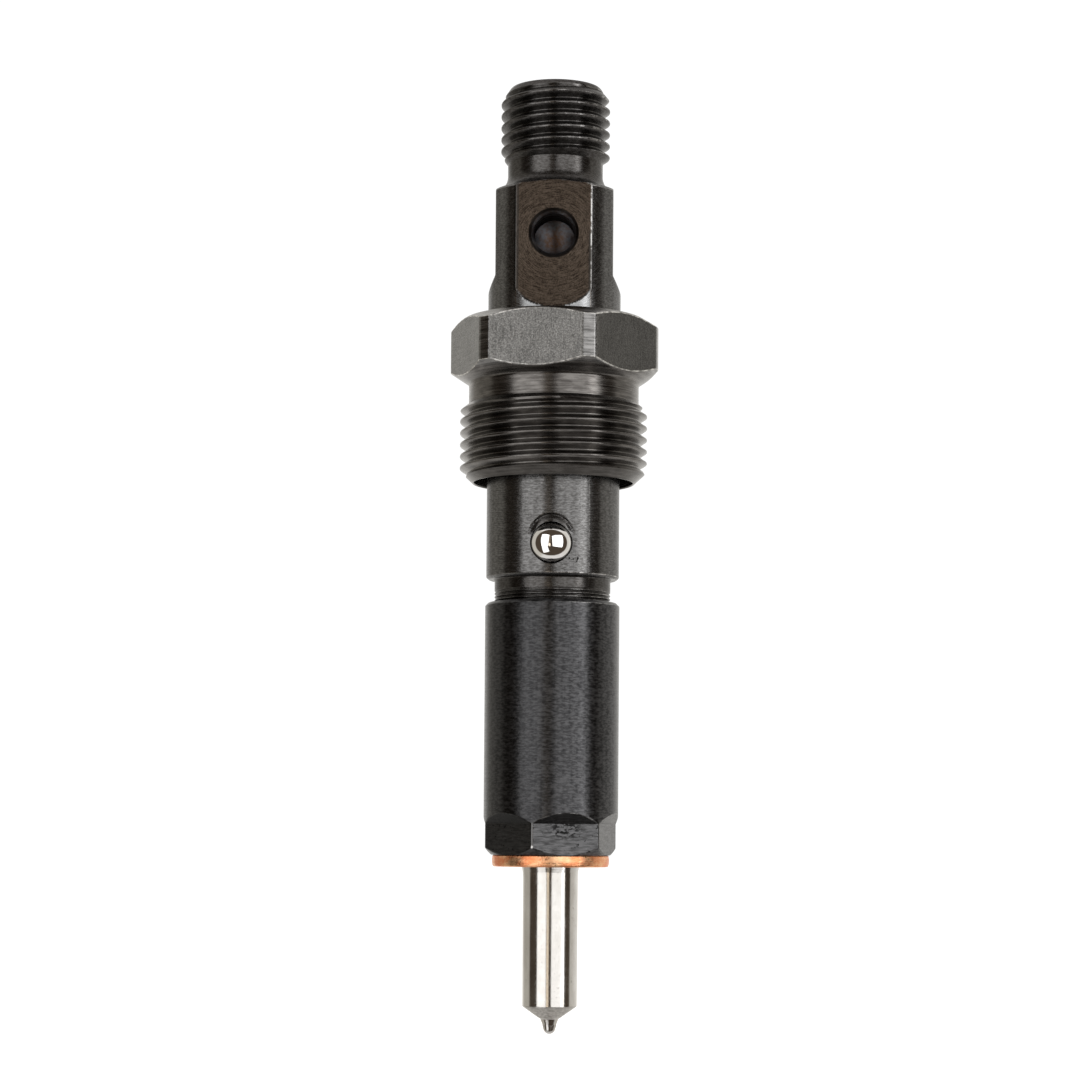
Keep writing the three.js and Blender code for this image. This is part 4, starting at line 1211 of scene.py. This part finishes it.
def nozzle_outline():
    return rounded([
        *[(r, z, 0) for r, z in arc(0, TIP_Z + TIP_R, TIP_R, -90, -12, 8)],
        (0.9, TIP_Z + 1.2, 0.3), (1.2, TIP_Z + 1.95, 0.2), (1.6, TIP_Z + 2.2, 0.2),
        (NOZZLE_R, TIP_Z + 3.55, 0.15), (NOZZLE_R + 0.03, -1.4, 1.0), (NOZZLE_R + 0.06, -0.7, 0.5),
        (NOZZLE_FLARE_R, -0.05), (NOZZLE_FLARE_R, 0.9), (3.75, NOZZLE_STEP_Z),
        (NOZZLE_STEP_R - 0.2, NOZZLE_STEP_Z), (NOZZLE_STEP_R, NOZZLE_STEP_Z + 0.2),
        (NOZZLE_STEP_R, CAP_SHOULDER_Z), (DISC_R - 0.3, CAP_SHOULDER_Z),
        (DISC_R, CAP_SHOULDER_Z + 0.3), (DISC_R, NOZZLE_TOP - 0.3),
        (DISC_R - 0.3, NOZZLE_TOP), (0, NOZZLE_TOP),
    ], 0.08, 5)


def make_nozzle():
    body = turned("nozzle_shell", nozzle_outline(), 192)
    guide_r = NEEDLE_R + 0.05
    bore = turned("cutter", [
        (0, SPRAY_Z - 0.5), (SAC_R, SPRAY_Z - 0.2), (SAC_R, SAC_TOP), (CONE_TOP_R, CONE_TOP_Z),
        (CONE_TOP_R, GALLERY_LOW - GALLERY_CONE), (GALLERY_R, GALLERY_LOW), (GALLERY_R, GALLERY_TOP),
        (guide_r, GALLERY_TOP + GALLERY_CONE), (guide_r, NOZZLE_TOP + 1), (0, NOZZLE_TOP + 1),
    ], 64)
    spray_end = SPRAY_Z - 2 * math.tan(math.radians(15))
    spray = [rod((0, 0, SPRAY_Z), around(2, 360 / SPRAY_HOLES * k, spray_end), 0.14, 12)
             for k in range(SPRAY_HOLES)]
    duct = rod((0, DUCT_Y + 0.3, NOZZLE_TOP + 1), (0, 2.4, 8.9), 0.7)
    return combine(body, [bore, duct, *spray, *dowel_holes(("lower_dowel_left", "lower_dowel_right"))])


stand_for(make_nozzle(), "nozzle_body", "ground_steel")


# ---------------- inner pieces

def make_disc():
    body = turned("spacer_disc", rounded(pin_outline(DISC_R, NOZZLE_TOP, HOLDER_LOW, 0.3)), 144)
    low, high = NOZZLE_TOP - 1, HOLDER_LOW + 1
    return combine(body, [
        rod((0, 0, low), (0, 0, high), 1.75, 48),
        rod((0, DUCT_Y, low), (0, DUCT_Y, high), DUCT_R),
        *dowel_holes(DOWEL_TURNS),
    ])


stand_for(make_disc(), "intermediate_disc", "hardened_steel")

for dowel_name, dowel_turn in DOWEL_TURNS.items():
    outline = pin_outline(DOWEL_R, *height_range(dowel_name), 0.2)
    dowel = turned(dowel_name + "_pin", rounded(outline, 0.08), 48)
    dowel.data.transform(Matrix.Translation(Vector(around(DOWEL_CIRCLE_R, dowel_turn, 0)) * MM))
    stand_for(dowel, dowel_name, "hardened_steel")


def make_needle():
    """The needle: a cone a hair's breadth over the seat, a thin shank, the guided part and the tail."""
    shoulder = NOZZLE_TOP - 0.25
    gap, cut_off = 0.03, 0.35
    cone_top = SAC_TOP + (NEEDLE_THIN_R - SAC_R + gap) / CONE_TAN
    return turned("needle_shell", rounded([
        (0, SAC_TOP + cut_off - 0.25), (SAC_R + cut_off * CONE_TAN - gap, SAC_TOP + cut_off),
        (NEEDLE_THIN_R, cone_top), (NEEDLE_THIN_R, GALLERY_LOW + 0.4), (NEEDLE_R, GALLERY_TOP + 0.4),
        (NEEDLE_R, shoulder),
        (NEEDLE_TAIL_R, shoulder), (NEEDLE_TAIL_R, NEEDLE_TOP), (0, NEEDLE_TOP),
    ], 0.06), 96)


stand_for(make_needle(), "nozzle_needle", "needle_steel")


def make_pressure_pin():
    return turned("pin_shell", rounded(pin_outline(PRESSURE_PIN_R, PIN_LOW, PIN_TOP, 0.3)), 96)


stand_for(make_pressure_pin(), "pressure_pin", "needle_steel")


def make_spring_seat():
    """A plate with a spigot for the spring, and a socket for the pressure pin below."""
    socket_r = PRESSURE_PIN_R + 0.05
    return turned("seat_shell", rounded([
        (0, PIN_TOP), (socket_r, PIN_TOP), (socket_r, SEAT_LOW), (SEAT_R - 0.3, SEAT_LOW),
        (SEAT_R, SEAT_LOW + 0.3), (SEAT_R, SPRING_LOW), (SPIGOT_R, SPRING_LOW),
        (SPIGOT_R, SEAT_TOP - 0.3), (SPIGOT_R - 0.3, SEAT_TOP), (0, SEAT_TOP),
    ], 0.08), 96)


stand_for(make_spring_seat(), "spring_seat", "hardened_steel")


def make_spring():
    """Round wire on a helix with close turns and ground faces; its foot leaves room for the needle's lift."""
    mean_r, wire_r, active, dead, dead_pitch = 2.65, 0.78, 5, 1.25, 1.68
    foot = SPRING_LOW + NEEDLE_LIFT + 0.02
    total = active + 2 * dead
    low, high = foot + 0.6 * wire_r, SPRING_TOP - 0.6 * wire_r
    pitch = (high - low - 2 * dead * dead_pitch) / active
    steps, sides = int(total * 40), 20
    surface = Surface()
    for k in range(steps + 1):
        turn = total * k / steps
        z = low + turn * dead_pitch
        rise = dead_pitch
        if turn > dead:
            z, rise = low + dead * dead_pitch + (turn - dead) * pitch, pitch
        if turn > total - dead:
            z, rise = high - (total - turn) * dead_pitch, dead_pitch
        angle = 2 * math.pi * turn
        centre = np.array([mean_r * math.cos(angle), mean_r * math.sin(angle), z])
        along = np.array([-math.sin(angle), math.cos(angle), rise / (2 * math.pi * mean_r)])
        along /= np.linalg.norm(along)
        out = np.array([math.cos(angle), math.sin(angle), 0])
        up = np.cross(out, along)
        ring = [centre + wire_r * (math.cos(a) * out + math.sin(a) * up)
                for a in np.linspace(0, 2 * math.pi, sides, endpoint=False)]
        if k == 0:
            surface.row(np.array([centre] * sides))
        surface.row(np.array(ring))
    surface.row(np.array([centre] * sides))
    wire = make_object("spring_wire", surface)
    half = (SPRING_TOP - foot) / 2
    ends = turned("cutter", [(0, -half), (6, -half), (6, half), (0, half)], 32)
    ends.data.transform(Matrix.Translation((0, 0, (SPRING_TOP + foot) / 2 * MM)))
    return combine(wire, [ends], "INTERSECT")


stand_for(make_spring(), "pressure_spring", "spring_steel")


def make_shim(name, low, high):
    hole, rim = 1.1, 3.4
    return turned(name, rounded([
        (hole, low + 0.1), (hole + 0.1, low), (rim - 0.1, low), (rim, low + 0.1), (rim, high - 0.1),
        (rim - 0.1, high), (hole + 0.1, high), (hole, high - 0.1),
    ], 0.04), 96, close=True)


stand_for(make_shim("shim_thick", SPRING_TOP, SHIM_JOINT), "thick_shim", "hardened_steel")
stand_for(make_shim("shim_thin", SHIM_JOINT, CHAMBER_TOP), "thin_shim", "hardened_steel")


# ---------------- studio

CAMERA_DISTANCE = 0.366
CAMERA_AZIMUTH = 1.3
EYE_HEIGHT = 0.004
LENS = 95.4
SHIFT_UP = 0.181
YAW = 0.228
TILT = 2.0
ROLL = 0.42
FLOOR_GAP = 0.0003
LIGHT_AIM_Z = 0.04


def make_camera():
    data = bpy.data.cameras.new("camera")
    data.lens = LENS
    data.shift_y = SHIFT_UP
    camera = add_object("camera", data)
    azimuth = math.radians(CAMERA_AZIMUTH)
    away = CAMERA_DISTANCE
    place = Vector((away * math.sin(azimuth), -away * math.cos(azimuth), EYE_HEIGHT))
    yaw = Matrix.Rotation(math.radians(CAMERA_AZIMUTH + YAW), 4, "Z")
    pitch = Matrix.Rotation(math.radians(90 + TILT), 4, "X")
    roll = Matrix.Rotation(math.radians(ROLL), 4, "Z")
    camera.matrix_world = Matrix.Translation(place) @ yaw @ pitch @ roll
    bpy.context.scene.camera = camera


def soft_box(name, azimuth, elevation, distance, width, height, radiance, color=(1, 1, 1)):
    """A rectangular light that faces the injector, given by the direction it stands in."""
    data = bpy.data.lights.new(name, "AREA")
    data.shape = "RECTANGLE"
    data.size, data.size_y = width, height
    data.energy = radiance * math.pi * width * height
    data.color = color
    light = add_object(name, data)
    a, e = math.radians(azimuth), math.radians(elevation)
    away = Vector((math.sin(a) * math.cos(e), -math.cos(a) * math.cos(e), math.sin(e)))
    light.location = Vector((0, 0, LIGHT_AIM_Z)) + away * distance
    light.rotation_euler = away.to_track_quat("Z", "Y").to_euler()
    light.visible_camera = False


def make_world():
    """White for the camera. For light: bright behind, above and below the injector, dim in front of it."""
    world = bpy.data.worlds.new("studio")
    world.use_nodes = True
    bpy.context.scene.world = world
    world.node_tree.nodes.clear()
    nodes = Nodes(world.node_tree)
    x, y, z = nodes.split(nodes.add("TexCoord").outputs["Generated"])
    height = abs(z)
    back = nodes.mix(nodes.levels(y, 0.1, 1.0), (0.64, 0.615, 0.57), (0.92, 0.9, 0.86))
    back = nodes.mix(nodes.levels(height, 0.6, 0.9), back, (0.85, 0.82, 0.8))
    back = nodes.mix(nodes.levels(z, -0.4, -0.8), back, (0.7, 0.68, 0.66))
    back = nodes.mix(nodes.levels(x, -0.5, -0.75), back, (0.5, 0.475, 0.425))
    behind = nodes.levels(y + height ** 2.0 * 0.39, 0.0, 0.1)
    dim, white = nodes.add("Background"), nodes.add("Background")
    nodes.feed(dim.inputs["Color"], nodes.mix(behind, (0.066, 0.05, 0.037), back))
    nodes.feed(white.inputs["Color"], (1, 1, 1))
    nodes.feed(white.inputs["Strength"], 1.05)
    either = nodes.add("MixShader")
    nodes.feed(either.inputs[0], nodes.add("LightPath").outputs["Is Camera Ray"])
    nodes.feed(either.inputs[1], dim.outputs[0])
    nodes.feed(either.inputs[2], white.outputs[0])
    nodes.feed(nodes.add("OutputWorld").inputs[0], either.outputs[0])


def make_floor():
    """A wide pale floor, bright enough to melt into the background."""
    radius = 3.0
    mesh = bpy.data.meshes.new("floor")
    work = bmesh.new()
    bmesh.ops.create_circle(work, cap_ends=True, radius=radius, segments=96)
    work.to_mesh(mesh)
    work.free()
    floor = add_object("floor", mesh)
    floor.location = (0, 0, cad_low[2] - FLOOR_GAP)
    pale = Shading(
        "pale_floor", Base_Color=(0.85, 0.85, 0.85, 1), Roughness=0.9,
        Emission_Color=(1, 1, 1, 1), Emission_Strength=0.8,
    )
    floor.data.materials.append(pale.material)
    floor.visible_glossy = False
    floor.visible_diffuse = False
    floor.visible_shadow = False


make_camera()
make_world()
make_floor()
soft_box("left_box", -34.5, 12, 0.7, 0.52, 0.8, 1.55)
soft_box("low_left_box", -36, -34, 0.7, 0.4, 0.4, 1.2)
soft_box("right_box", 35.5, 8, 0.7, 0.79, 0.8, 1.45)
soft_box("right_strip", 55.8, 8, 0.68, 0.11, 0.7, 1.9)
soft_box("warm_strip", -8.5, 12, 0.72, 0.11, 0.7, 0.16, (1, 0.8, 0.6))
soft_box("low_warm_strip", -8.5, -12, 0.72, 0.12, 0.2, 1.1, (1, 0.86, 0.68))
bpy.context.scene.view_settings.view_transform = "Standard"
